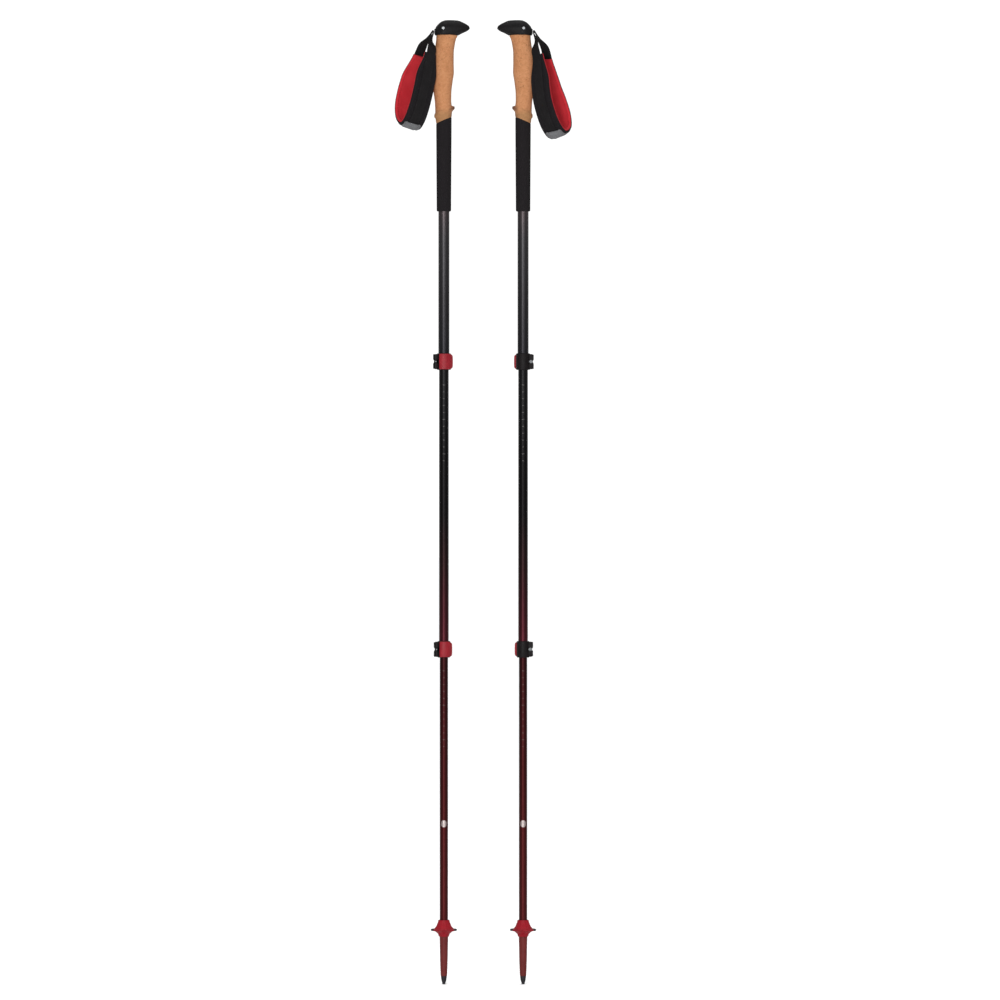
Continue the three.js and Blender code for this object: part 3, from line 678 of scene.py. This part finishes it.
def head_mesh():
    table = [  # height, rear, front, half width
        (HEAD_BOTTOM, -12.7, 21.6, 13.5),
        (HEAD_BOTTOM + 0.5, -13.1, 22.3, 13.9),
        (HEAD_BOTTOM + 3, -13.6, 27.2, 14.8),
        (HEAD_TOP - 15.5, -13.5, 34.4, 15),
        (HEAD_TOP - 12, -12.5, 37.6, 14.8),
        (HEAD_TOP - 9, -11, 36.6, 14),
        (HEAD_TOP - 6, -8.4, 33, 12.4),
        (HEAD_TOP - 3, -5, 27, 9.6),
        (HEAD_TOP - 1, -1, 22.4, 6.6),
        (HEAD_TOP - 0.3, 1.5, 18.8, 4.6),
        (HEAD_TOP, 4.6, 15, 2.6),
    ]
    body = surface("head", grip_rings([(*row, 0.0) for row in table], 56, taper=0.3))
    cavity = rod("cavity", 9.6, HEAD_BOTTOM - 1, HEAD_TOP - 9.7, 64)
    low, high = WEDGE_LOW - Vector((GAP,) * 3), WEDGE_HIGH + Vector((GAP,) * 3)
    pocket = block("pocket", (-THROUGH, high.x), (low.y, high.y), (low.z, high.z))
    hole = along_y(rod("hole", PIN_RADIUS + SEAM, -THROUGH, THROUGH, 40), PIN_X, PIN_Z)
    return boolean("head", body, cut=[cavity, pocket, hole])


def pin_mesh():
    half, depth = PIN_HIGH.y, 1.1
    body = along_y(rod("pin", PIN_RADIUS, -half, half, 40, bevel=0.35), PIN_X, PIN_Z)
    spans = (-half - 1, -half + depth), (half - depth, half + 1)
    return boolean("pin", body, cut=[along_y(rod("recess", 1.15, *span, 6), PIN_X, PIN_Z) for span in spans])


def grip_bore(*ends):
    """Rings of the hole through a grip, each at a (height, slope)."""
    return [grip_ring(z, -GRIP_BORE, GRIP_BORE, GRIP_BORE, slope) for z, slope in ends]


def cork_mesh():
    table = [  # height, rear, front, half width, slope
        (CORK_TOP, -10.4, 19.2, 12.2, 0),
        (CORK_TOP - 0.8, -11, 19.9, 12.8, 0),
        (CORK_TOP - 5, -11.2, 17.8, 13, 0),
        (CORK_TOP - 14, -12.2, 15.8, 13.4, 0),
        (CORK_TOP - 25, -14.4, 14.4, 13.8, 0),
        (CORK_TOP - 41, -17.6, 14.3, 14.2, 0),
        (CORK_TOP - 53, -18.4, 14.6, 14.3, 0),
        (CORK_TOP - 68, -17.6, 12.6, 13.8, 0),
        (CORK_TOP - 84, -14.8, 10.9, 12.6, 0.05),
        (CORK_FOOT + 27, -13, 10.7, 12, SEAM_SLOPE / 2),
        (CORK_FOOT + 17, -12.6, 11.4, 12, SEAM_SLOPE),
        (CORK_FOOT + 13.4, -14, 15.6, 12.9, SEAM_SLOPE),
        (CORK_FOOT + 10.8, -14, 15.8, 12.9, SEAM_SLOPE),
        (CORK_FOOT + 7.4, -12.2, 12, 11.8, SEAM_SLOPE),
        (CORK_FOOT + 0.6, -11.2, 11.2, 11.2, SEAM_SLOPE),
        (CORK_FOOT, -10.8, 10.8, 10.8, SEAM_SLOPE),
    ]
    bore = grip_bore((CORK_TOP, 0), (CORK_FOOT, SEAM_SLOPE))
    mesh = surface("cork", grip_rings(table, 150) + bore, loop=True)
    shade_ledge(mesh)
    return mesh


def shade_ledge(mesh):
    """Marks the painted shadow on the cork, on and below the front of its finger ledge."""
    # painted shadow, strongest at the ledge's front edge and fainter below it
    shade = mesh.attributes.new("shade", "FLOAT", "POINT")
    ledge = CORK_FOOT + 12
    for vertex, value in zip(mesh.vertices, shade.data):
        x, _, z = vertex.co
        above = z - SEAM_SLOPE * x - ledge
        on_ledge = math.exp(-((above / 3.4) ** 2))
        below = smooth((4 - above) / 16) * 0.35
        value.value = smooth((x - 5) / 8) * max(on_ledge, below)


def foam_mesh():
    bottom, top, edge = 10.5, 11.2, 0.6
    slant = FOAM_TOP - 2 * top * SEAM_SLOPE
    levels = [(0, bottom - 1.6), (0.35, bottom - 0.7), (1.1, bottom - 0.15), (2.2, bottom)]
    start = FOAM_BOTTOM + 2.2
    levels = [(FOAM_BOTTOM + up, radius, 0) for up, radius in levels]
    levels += [(mix(start, slant, k / 10), mix(bottom, top, k / 10), 0) for k in range(1, 11)]
    levels += [(mix(slant, FOAM_TOP - edge, t), top, SEAM_SLOPE * t) for t in (0.5, 1)]
    levels.append((FOAM_TOP, top - edge, SEAM_SLOPE))
    rings = [grip_ring(z, -radius, radius, radius, slope) for z, radius, slope in levels]
    return surface("foam", rings + grip_bore((FOAM_TOP, SEAM_SLOPE), (FOAM_BOTTOM, 0)), loop=True)


def wedge_mesh():
    tall = (WEDGE_HIGH.z - WEDGE_LOW.z) / 2
    rear, front, middle = WEDGE_LOW.x, WEDGE_HIGH.x, WEDGE_MIDDLE
    outline = [(rear, -tall), (front, -tall / 2), (front, tall / 2), (rear, tall)]
    outline = rounded([(x, middle + z) for x, z in outline], 0.6, 3)
    body = prism("wedge", outline, (WEDGE_LOW.y, WEDGE_HIGH.y), 0.4)
    width, depth = 0.7, 0.35
    grooves = []
    for z in (middle - 2.2, middle - 0.75, middle + 0.75, middle + 2.2):
        grooves.append(block("groove", (rear - 1, rear + depth), (-5.5, 5.5), (z - width / 2, z + width / 2)))
    return boolean("wedge", body, cut=grooves)


place("head", head_mesh(), RUBBER, "handle", ["pommel"], "rubber")
place("cross_pin", pin_mesh(), PIN_STEEL, "handle", ["head_pin"], "pin")
place("cork", cork_mesh(), CORK, "handle", ["cork_grip"], "cork")
place("foam", foam_mesh(), FOAM, "handle", ["foam_sleeve"], "foam")
place("wedge_piece", wedge_mesh(), NYLON, "wedge", ["strap_wedge"], "hard_plastic")


# ---- Tubes ----


def tube_mesh(name, radius, span, wall=0.8, chamfer=0.25):
    low, high = span
    inner = radius - wall
    edge = radius - chamfer
    outline = [(inner, low), (edge, low), (radius, low + chamfer), (radius, high - chamfer), (edge, high)]
    return turned(name, [*outline, (inner, high)], 96)


for name, radius, span, look, body in (
    ("upper", UPPER_RADIUS, UPPER, UPPER_TUBE, "handle"),
    ("middle", MIDDLE_RADIUS, MIDDLE, MIDDLE_TUBE, "middle"),
    ("lower", LOWER_RADIUS, LOWER, LOWER_TUBE, "lower"),
):
    place(f"{name}_shaft", tube_mesh(name, radius, span), look, body, [f"{name}_tube"], f"{name}_tube")


# ---- Lever locks ----

CAM_END, LEVER_END = 237, 350  # degrees round the pole
SLIT, EAR_FACE, LIP = 0.8, 4.6, 1.4  # half the slit, half the ears, height of the collar's lip
SCREW_HOLE = 1.5


def arc_wall(name, start, end, steps, outline_at):
    """A wall round the pole axis. outline_at(angle) is its (radius, z) outline at an angle in degrees."""
    rows = []
    for k in range(steps + 1):
        angle = mix(start, end, k / steps)
        turn = math.radians(angle)
        rows.append([(r * math.cos(turn), r * math.sin(turn), z) for r, z in outline_at(angle)])
    return surface(name, rows)


class Lock:
    """A lever lock: a split collar, a cam on a barrel nut, a lever and a tension screw."""

    def __init__(self, end, tube_radius):
        collar, barrel = extent(f"{end}_collar"), extent(f"{end}_barrel")
        self.low, self.high, self.ear_end = collar[0].z, collar[1].z, collar[0].x
        self.middle = (self.low + self.high) / 2
        self.nut_span = [corner.z for corner in barrel]
        self.axis = ((barrel[0].x + barrel[1].x) / 2, (barrel[0].y + barrel[1].y) / 2)
        self.bore, self.lip_radius = tube_radius + GAP, tube_radius - 1 + GAP
        self.ring = self.bore + 1.9
        self.inner, self.outer = self.ring + 0.3, self.ring + 2.3

    def across(self, mesh):
        """Lays a mesh along the tension screw."""
        return along_y(mesh, self.axis[0], self.middle)

    def collar(self):
        low, high, middle, edge = self.low, self.high, self.middle, self.ear_end
        profile = [
            (self.lip_radius, low, 0.1), (self.ring, low, 2.2),
            (self.ring, high, 2.2), (self.lip_radius, high, 0.1),
        ]
        body = turned("collar", rounded(profile, 0.1, 5), 96)
        root, bottom, top = -self.bore, low + 1.0, high - 1.0
        ear = [
            (root, bottom, 0.1), (edge, bottom, 7.5), (edge, middle - 2.2), (edge + 0.8, middle - 1.2),
            (edge + 0.8, middle + 1.2), (edge, middle + 2.2), (edge, top, 7.5), (root, top, 0.1),
        ]
        return boolean(
            "collar", body,
            add=[prism("ears", rounded(ear, 0.8), (-EAR_FACE, EAR_FACE), 0.9)],
            cut=[
                rod("tube_space", self.bore, low + LIP, high + 1, 96),
                rod("lip_space", self.lip_radius, low - 1, low + LIP + 0.5, 96),
                block("slit", (edge - 2, 1 - self.lip_radius), (-SLIT, SLIT), (low - 1, high + 1)),
                self.across(rod("screw_hole", SCREW_HOLE, -20, 20, 32)),
                self.across(rod("head_seat", 3.2, EAR_FACE, 20, 48)),
                self.across(rod("counterbore", 2.1, EAR_FACE - 0.6, 20, 48)),
            ],
        )

    def wall(self, low, high, swell=0.0):
        """Outline of the cam's and the lever's wall, with a slight crown on its outer face."""
        edge, crown = self.outer + swell - 0.3, self.outer + swell
        outline = [(self.inner, low), (edge, low, 1.1), (crown, mix(low, high, 0.5), 6.0)]
        return rounded([*outline, (edge, high, 1.1), (self.inner, high)], 0.4, 5)

    def cam(self):
        low, high, window = self.low + 1.4, self.high - 1.4, 2.8
        start = math.degrees(math.atan2(self.axis[1], self.axis[0])) + 360
        return boolean(
            "cam", rod("eye", 4.0, low, high, 64, self.axis, bevel=0.7),
            add=[arc_wall("cam_wall", start, CAM_END, 40, lambda angle: self.wall(low, high))],
            cut=[
                rod("window", 4.4, self.middle - window, self.middle + window, 64, self.axis),
                rod("eye_bore", 2.7, low - 1, high + 1, 48, self.axis),
            ],
        )

    def lever(self):
        low, high, corner = self.low + 0.7, self.high - 0.7, 6.5
        start = CAM_END + math.degrees(SEAM / self.inner)

        def outline_at(angle):
            left = LEVER_END - angle
            from_end, from_seam = (math.radians(turn) * self.outer for turn in (left, angle - start))
            cut = 0.0
            if from_end < corner:
                cut = corner - math.sqrt(max(0.0, corner**2 - (corner - from_end) ** 2))
            if from_seam < 0.7:
                cut = max(cut, 0.5 * (1 - from_seam / 0.7) ** 2)
            swell = 0.9 * smooth((16 - left) / 9)
            if 2.2 < left < 13.4:
                swell += 0.28 * abs(math.sin(math.pi * (left - 2.2) / 2.8))
            thin = 0.55 * (1 - min(1.0, from_end / 1.2)) ** 2
            return self.wall(low + cut, high - cut, swell - thin)

        return arc_wall("lever", start, LEVER_END, 300, outline_at)

    def barrel(self):
        (x, y), top = self.axis, self.nut_span[1]
        return boolean(
            "nut", rod("nut", 2.5, *self.nut_span, 48, self.axis, bevel=0.4),
            cut=[
                self.across(rod("thread", SCREW_HOLE, -20, 0, 24)),
                block("slot", (x - 3, x + 3), (y - 0.4, y + 0.4), (top - 0.7, top + 1)),
            ],
        )

    def tension_screw(self):
        (x, y), low = self.axis, EAR_FACE + GAP
        high = low + 2.4
        crown = [(2.9, high - 0.9), (2.6, high - 0.35), (1.9, high - 0.05), (AXIS, high)]
        cap = [(AXIS, low), (2.9, low), *crown]
        shank = [(AXIS, y - 2), (0.9, y - 2), (1.2, y - 1.6), (1.2, low + 1), (AXIS, low + 1)]
        slot = (self.middle - 0.45, self.middle + 0.45)
        return boolean(
            "screw", self.across(turned("cap", cap, 64)),
            add=[self.across(turned("shank", shank, 32))],
            cut=[block("slot", (x - 4, x + 4), (high - 0.9, high + 1), slot)],
        )


for end, radius, fixed in (("upper", UPPER_RADIUS, "handle"), ("lower", MIDDLE_RADIUS, "middle")):
    lock = Lock(end, radius)
    for part, mesh, look, body, slot in (
        ("collar", lock.collar(), NYLON, fixed, "hard_plastic"),
        ("cam", lock.cam(), NYLON, f"{end}_lever", "hard_plastic"),
        ("lever", lock.lever(), RED_LEVER, f"{end}_lever", "lever"),
        ("barrel", lock.barrel(), DARK_STEEL, fixed, "steel"),
        ("tension_screw", lock.tension_screw(), STEEL, f"{end}_screw", "steel"),
    ):
        place(f"{end}_lock_{part}", mesh, look, body, [f"{end}_{part}"], slot)


# ---- Tip and basket ----

SEAT, SOCKET = 6.9, LOWER_RADIUS + 0.2  # radii of the basket's seat and of the tube's socket
SHOULDER = 70.4  # height of the seat's foot


def tip_mesh():
    outline = [(2.6, 25.8), (2.6, 11.75), (4.5, 11.75), (4.7, 12.2)]
    taper = through((12, 20, 35, 50), (4.7, 5.15, 5.6, 5.8))
    for k in range(60):
        z = 12.6 + k * 0.4
        groove = 0.28 * max(0.0, math.cos(2 * math.pi * (z - 15) / 3.2)) ** 3 if 15 < z < 33 else 0.0
        outline.append((taper(z) - groove, z))
    outline += [
        (5.65, 38), (5.8, 50), (6.0, 58), (SOCKET, 65.4), (SOCKET, 69.7), (SEAT, SHOULDER), (SEAT, 90.9),
        (SEAT - 0.4, 91.5), (SOCKET, 91.5), (SOCKET, 72), (AXIS, 72), (AXIS, 25.8),
    ]
    return turned("tip", outline, 96)


def carbide_mesh():
    outline = [
        (AXIS, 25.5), (2.0, 25.5), (2.3, 25.2), (2.3, 11.7), (4.0, 11.7), (4.4, 11.3), (4.3, 9.5), (4.1, 7.5),
        (3.7, 5.4), (3.3, 3.5), (3.0, 3.05), (2.5, 3.0), (2.48, 1.5), (2.4, 0.15), (2.2, 0.0), (1.3, 0.0),
        (1.1, 0.2), (0.5, 0.95), (AXIS, 1.2),
    ]

    def flutes(angle, z, radius):
        if 3.2 < z < 11 and radius > 3:
            return -0.3 * max(0.0, math.cos(6 * angle)) ** 2
        return -0.18 * max(0.0, math.cos(8 * angle)) if z < 1.4 and radius > 2 else 0.0

    return turned("carbide", outline, 96, wave=flutes)


def hub_mesh():
    outline = [
        (SOCKET + GAP, 69), (7.2, 69), (7.5, 69.3), (8.6, 72.8), (12.0, 75.9), (14.3, 77.1), (14.7, 77.6),
        (14.8, 78.7), (14.7, 79.8), (14.2, 80.4), (12.4, 82.4), (11.0, 84.3), (10.3, 86.2), (8.95, 89.4),
        (8.5, 91.2), (8.2, 92.7), (7.9, 93), (SEAT + GAP, 93), (SEAT + GAP, SHOULDER),
        (SOCKET + GAP, SHOULDER - 0.7),
    ]

    def ribs(angle, z, radius):
        if not 72 < z < 92 or radius < 8:
            return 0.0
        strength = smooth((77.2 - z) / 1.5) * smooth(z - 72)
        if z > 78:
            strength = smooth((z - 80.5) / 2) * smooth((92 - z) / 2)
        return -0.55 * strength * max(0.0, math.cos(12 * angle)) ** 2

    return turned("hub", outline, 192, wave=ribs)


def disc_mesh():
    inner, outer = 15.1, 19.2
    reach, notch = 20.2, 2.4  # where the round notches are centred, and their radius
    low, high = (corner.z for corner in extent("basket_disc"))
    outline = [
        (inner, low + 0.2), (inner + 0.2, low), (outer - 0.9, low), (outer - 0.2, low + 0.5),
        (outer, low + 1.3), (outer - 0.2, high - 0.5), (outer - 0.9, high), (17.6, high),
        (17.3, high - 0.35), (16.5, high - 0.35), (16.2, high), (inner + 0.2, high), (inner, high - 0.2),
    ]

    def notches(angle, z, radius):
        if radius < outer - 1.2:
            return 0.0
        away = (math.degrees(angle) - 30) % 60
        away = math.radians(min(away, 60 - away))
        side = reach * math.sin(away)
        if abs(side) >= notch:
            return 0.0
        return min(0.0, reach * math.cos(away) - math.sqrt(notch**2 - side**2) - outer)

    return turned("disc", outline, 360, wave=notches)


place("tip_sleeve", tip_mesh(), TIP_PLASTIC, "lower", ["flex_tip"], "tip_plastic")
place("tip_point", carbide_mesh(), CARBIDE, "lower", ["carbide_tip"], "carbide")
place("hub", hub_mesh(), RED_HUB, "basket", ["basket_hub"], "red_plastic")
place("disc", disc_mesh(), RIM, "basket", ["basket_disc"], "basket_rim")


# ---- Hand straps ----

ROLL_RADIUS = 1.7
ANCHOR = Vector((WEDGE_LOW.x - GAP - ROLL_RADIUS, 0, WEDGE_MIDDLE))
ROLL = [(0.8, 0, -0.7), (0.7, 0, -2.2)], [(-1.8, 0, -0.9), (-0.8, 0, 0.7)]
ROUTES = {
    "left": (22, [
        (-1.9, -4, -11), (-2.8, -12, -23), (-4.6, -21, -41), (-9, -26, -63), (-13.5, -28, -86),
        (-19.5, -25, -110), (-26.5, -15, -128.5), (-33.5, -1, -136.5), (-39.5, 14, -129), (-41.5, 23, -110),
        (-38, 27, -88), (-30.5, 25, -63), (-21.8, 18, -38), (-14, 10, -21), (-6.5, 3.5, -8),
    ]),
    "right": (34, [
        (-2.2, -4, -12), (-3.5, -12, -25), (-6.4, -21, -45), (-8.6, -26, -70), (-11.4, -28, -97),
        (-17.6, -25, -121), (-25.8, -15, -140), (-34.5, -1, -149), (-41.6, 14, -142), (-41, 23, -124),
        (-34, 27, -100), (-25, 25, -76), (-20.4, 18, -49), (-14.8, 10, -26), (-6.4, 3.5, -9),
    ]),
}
STRAP_STEPS = 60  # places along a strap are given in these steps
PAD_FROM, PAD_TO = 7, 52
PATCH_FROM, PATCH_TO = 27, 33
PAD_WIDTH, PAD_END_WIDTH, PAD_END_STEPS = 31, 18, 7
PAD_THICK = 2.72
WEBBING_HALF, WEBBING_THICK = 7.0, 0.6  # half its width and half its thickness
WEBBING_OUT = 3.4  # how far it lies outside the line where it passes the pad


class Loop:
    """The line that a strap follows, with the directions across and out of the band at each step."""

    def __init__(self, yaw, points):
        start, end = ROLL
        self.points = [Vector(point) + ANCHOR for point in start + points + end]
        self.flat = Vector((math.cos(math.radians(yaw)), math.sin(math.radians(yaw)), -0.3)).normalized()
        self.line = [self.spline(k / 1500) for k in range(1501)]
        self.run = [0.0]
        for a, b in zip(self.line, self.line[1:]):
            self.run.append(self.run[-1] + (b - a).length)
        self.length = self.run[-1]

    def spline(self, t):
        """A smooth curve through the points, t from 0 to 1."""
        points, last = self.points, len(self.points) - 1
        whole = min(int(last * t), last - 1)
        share = last * t - whole
        before = points[whole - 1] if whole > 0 else 2 * points[0] - points[1]
        after = points[whole + 2] if whole + 2 <= last else 2 * points[last] - points[last - 1]
        a, b, c, d = before, points[whole], points[whole + 1], after
        ab, bc, cd = (max((q - p).length ** 0.5, 1e-4) for p, q in ((a, b), (b, c), (c, d)))
        start = ((b - a) / ab - (c - a) / (ab + bc) + (c - b) / bc) * bc
        end = ((c - b) / bc - (d - b) / (bc + cd) + (d - c) / cd) * bc
        square, cube = 3 * (c - b) - 2 * start - end, 2 * (b - c) + start + end
        return b + start * share + square * share**2 + cube * share**3

    def at(self, step):
        """The point that lies a step's share of the whole length along the line."""
        reach = min(max(step / STRAP_STEPS, 0.0), 1.0) * self.length
        low, high = 0, len(self.run) - 1
        while high - low > 1:
            half = (low + high) // 2
            low, high = (half, high) if self.run[half] <= reach else (low, half)
        share = (reach - self.run[low]) / (self.run[high] - self.run[low])
        return self.line[low].lerp(self.line[high], share)

    def directions(self, step):
        nudge = 0.05
        along = (self.at(step + nudge) - self.at(step - nudge)).normalized()
        turn = smooth(min(step, STRAP_STEPS - step) / 7)
        across = Vector((0, 1, 0)).lerp(self.flat, turn)
        across = (across - along * across.dot(along)).normalized()
        return along, across, along.cross(across)

    def point(self, step, side, out):
        _, across, outward = self.directions(step)
        return self.at(step) + across * side + outward * out


def band(name, loop, first, last, per_step, outline_at):
    """A closed strip along a strap. outline_at(step) is its outline as (across, outward) points."""
    count = round((last - first) * per_step)
    rows, around, along = [], [], []
    for k in range(count + 1):
        step = mix(first, last, k / count)
        _, across, outward = loop.directions(step)
        centre, outline = loop.at(step), outline_at(step)
        rows.append([centre + across * a + outward * o for a, o in outline])
        lengths = [0.0]
        for a, b in zip(outline, outline[1:] + outline[:1]):
            lengths.append(lengths[-1] + math.dist(a, b))
        around.append(lengths)
        along.append(step / STRAP_STEPS * loop.length)
    return surface(name, rows, uv=lambda r, i: (around[r][i] * MM, along[r] * MM))


def pad_half(step):
    from_end = min(step - PAD_FROM, PAD_TO - step)
    return mix(PAD_END_WIDTH, PAD_WIDTH, smooth(from_end / PAD_END_STEPS)) / 2


def end_round(step, loop):
    """Thins the pad towards its two ends."""
    reach = min(step - PAD_FROM, PAD_TO - step) / STRAP_STEPS * loop.length
    t = min(1.0, max(0.0, reach / 4))
    return 0.25 + 0.75 * math.sqrt(1 - (1 - t) ** 2)


def webbing_offset(step):
    return WEBBING_OUT * smooth((min(step, STRAP_STEPS - step) - 2) / 4)


def webbing_top(step):
    return webbing_offset(step) + WEBBING_THICK + 0.02


def pad_outline(loop, step):
    wide, thin = pad_half(step), end_round(step, loop)
    quilt = 0.1 * math.sin(2 * math.pi * step / STRAP_STEPS * loop.length / 7.5)
    top, shoulder = (PAD_THICK + quilt) * thin, 1.4 * thin
    half = [(-wide, -0.4), (-wide, shoulder), (-wide + 2.2, top)]
    return rounded(half + [(-across, out) for across, out in reversed(half)], 0.9)


def lining_outline(loop, step):
    wide, thin, face = pad_half(step), end_round(step, loop), -0.45
    side, back = face - 1.5 * thin, face - 3.1 * thin
    half = [(wide, face), (wide, side), (wide - 1.9, back)]
    return rounded([(-wide, face), *half, (-wide + 1.9, back), (-wide, side)], 0.8)


def webbing_outline(step):
    half, low, high = WEBBING_HALF, webbing_offset(step) - WEBBING_THICK, webbing_offset(step) + WEBBING_THICK
    return rounded([(-half, low), (half, low), (half, high), (-half, high)], 0.45, 3)


STITCH_LENGTH, STITCH_PITCH, STITCH_THICK = 2.3, 3.2, 0.28
STITCH_RINGS = ((-0.5, 0.25), (-0.38, 0.8), (0, 1), (0.38, 0.8), (0.5, 0.25))  # share of the length, size


def stitch(loop, step, side, out, first):
    """Points and faces of one stitch along the band, its ends sunk in. first numbers its first point."""
    along, across, outward = loop.directions(step)
    centre = loop.point(step, side, out)
    points, faces = [], []
    for reach, size in STITCH_RINGS:
        for i in range(6):
            turn = math.pi * i / 3
            thick = STITCH_THICK * size
            rise = math.sin(turn) * thick * 0.7 - 0.25 * (abs(reach) * 2) ** 2
            offset = across * (math.cos(turn) * thick) + outward * rise
            points.append(centre + along * (reach * STITCH_LENGTH) + offset)
    for j in range(len(STITCH_RINGS) - 1):
        for i in range(6):
            a, b = first + j * 6 + i, first + j * 6 + (i + 1) % 6
            faces.append((a, b, b + 6, a + 6))
    faces.append(tuple(first + i for i in reversed(range(6))))
    faces.append(tuple(first + len(points) - 6 + i for i in range(6)))
    return points, faces


def stitches(name, loop, rows):
    """Rows of stitches. Each row is (first step, last step, side_at, out_at)."""
    points, faces = [], []
    for first, last, side_at, out_at in rows:
        count = max(1, int((last - first) / STRAP_STEPS * loop.length / STITCH_PITCH))
        for k in range(count):
            step = mix(first, last, (k + 0.5) / count)
            more_points, more_faces = stitch(loop, step, side_at(step), out_at(step), len(points))
            points += more_points
            faces += more_faces
    mesh = bpy.data.meshes.new(name)
    mesh.from_pydata([tuple(point) for point in points], [], faces)
    layer = mesh.uv_layers.new(name="pattern")
    for spot, corner in zip(layer.data, mesh.loops):
        point = points[corner.vertex_index]
        spot.uv = ((point.x + point.y) * MM, point.z * MM)
    finish_normals(mesh, 60)
    return mesh


def patch_outline(loop, step):
    """The patch bridges the webbing and rests on the pad. Its corners are round."""
    ends = min(step - PATCH_FROM, PATCH_TO - step) / STRAP_STEPS * loop.length
    cut = 2.5 - math.sqrt(max(0.0, 2.5**2 - (2.5 - min(2.5, ends)) ** 2))
    half, over, beside, thick = 12.5 - cut, 4.05, 2.9, 0.8
    under = [(-half, beside), (-8.7, beside), (-7.5, over), (7.5, over), (8.7, beside), (half, beside)]
    outer = [(half, beside + thick), (9.0, beside + thick), (7.8, over + thick)]
    return rounded(under + outer + [(-across, out) for across, out in reversed(outer)], 0.35, 3)


def seam_rows(first, last, side_at, out_at):
    """Two rows of stitches, at side_at(step) to either side."""
    return [(first, last, lambda step, sign=sign: sign * side_at(step), out_at) for sign in (-1, 1)]


PADS = []
for side in SIDES:
    loop = Loop(*ROUTES[side])
    settings = {"mirrored": True, "sides": (side,)}
    webbing = joined(
        "webbing",
        band("webbing", loop, 0, STRAP_STEPS, 6, webbing_outline),
        along_y(rod("roll", ROLL_RADIUS, -WEBBING_HALF, WEBBING_HALF, 40, bevel=0.4), ANCHOR.x, ANCHOR.z),
    )
    place("strap_band", webbing, WEBBING, "strap", ["strap_webbing"], "webbing", **settings)
    pad = band("pad", loop, PAD_FROM, PAD_TO, 9, lambda step: pad_outline(loop, step))
    PADS += place("strap_cushion", pad, AIR_MESH, "strap", ["strap_pad"], "padding", **settings)
    lining = band("lining", loop, PAD_FROM, PAD_TO, 9, lambda step: lining_outline(loop, step))
    place("strap_inside", lining, RED_KNIT, "strap", ["strap_lining"], "lining", **settings)
    patch = band("patch", loop, PATCH_FROM, PATCH_TO, 12, lambda step: patch_outline(loop, step))
    place("strap_label", patch, PATCH, "strap", ["strap_patch"], "patch", **settings)
    rows = seam_rows(PAD_FROM + 0.6, PAD_TO - 0.6, lambda step: pad_half(step) - 2.9, lambda step: PAD_THICK)
    rows += seam_rows(PAD_FROM + 0.8, PAD_TO - 0.8, lambda step: 5.6, webbing_top)
    rows += seam_rows(PATCH_FROM + 0.4, PATCH_TO - 0.4, lambda step: 11.0, lambda step: 3.72)
    seams = stitches("stitches", loop, rows)
    place("strap_stitches", seams, THREAD, "strap", [], "padding", **settings)
    rows = seam_rows(PAD_FROM + 0.8, PAD_TO - 0.8, lambda step: pad_half(step) - 3.2, lambda step: -3.55)
    seams = stitches("lining_stitches", loop, rows)
    place("lining_stitches", seams, RED_THREAD, "strap", [], "lining", **settings)


# ---- Pieces inside the tubes, shown as packed ----

for side in SIDES:
    for node, look in (("middle_bush", ACETAL), ("lower_bush", ACETAL), ("head_insert", NYLON)):
        shown = bpy.data.objects[f"{side}_{node}"]
        shown.data.materials.clear()
        shown.data.materials.append(look)


# ---- Floor, light and camera ----


def floor_look():
    look = Look("pale_floor", 0.9, specular=0.1)
    cloud = look.noise(0.4, 3)
    return look.finish(look.tones(cloud, 0.92, 0.96), (cloud, 0.85, 0.95))


FLOOR_SPAN = (-60, 60)
floor = show("floor", block("floor", FLOOR_SPAN, FLOOR_SPAN, (-0.02, -0.0005)))
floor.data.materials.append(floor_look())
floor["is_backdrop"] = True

world = bpy.data.worlds.new("studio")
bpy.context.scene.world = world
sky = Tree(world)
compass = sky.split(sky.node("TexCoord").outputs["Generated"])
glow = sky.range(compass[1], 0.7, 0.93, 0.62, 1.1, interpolation_type="SMOOTHSTEP")
sky.feed(sky.nodes["Background"], {"Color": (1, 1, 1, 1), "Strength": glow})

CENTRE = Vector((0.024, 0.0, 0.703))
CAMERA_DISTANCE = 8.07


def softbox(name, spot, width, height, power):
    light = bpy.data.lights.new(name, "AREA")
    light.shape, light.size, light.size_y, light.energy = "RECTANGLE", width, height, power
    lamp = show(name, light)
    lamp.location = spot
    lamp.rotation_euler = (CENTRE - Vector(spot)).to_track_quat("-Z", "Y").to_euler()
    lamp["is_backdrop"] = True


softbox("key", (-0.45, -3.2, 1.1), 0.5, 2.4, 95)
softbox("fill", (1.0, -3.0, 0.9), 0.4, 2.4, 30)

overhead = show("overhead", bpy.data.lights.new("overhead", "SUN"))
overhead.data.energy, overhead.data.angle = 1.5, math.radians(50)
overhead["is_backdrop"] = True

camera_data = bpy.data.cameras.new("camera")
camera_data.lens, camera_data.sensor_width, camera_data.clip_end = 200, 36, 300
camera = show("camera", camera_data)
camera.location = (CENTRE.x, -CAMERA_DISTANCE, CENTRE.z)
camera.rotation_euler = (math.radians(90), 0, 0)
bpy.context.scene.camera = camera
bpy.context.scene.view_settings.view_transform = "Standard"


# ---- Size of the finished object ----

as_lists = lambda corners: [[round(value, 6) for value in corner] for corner in corners]
{"cad": as_lists(CAD_BOX), "visual": as_lists(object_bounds())}
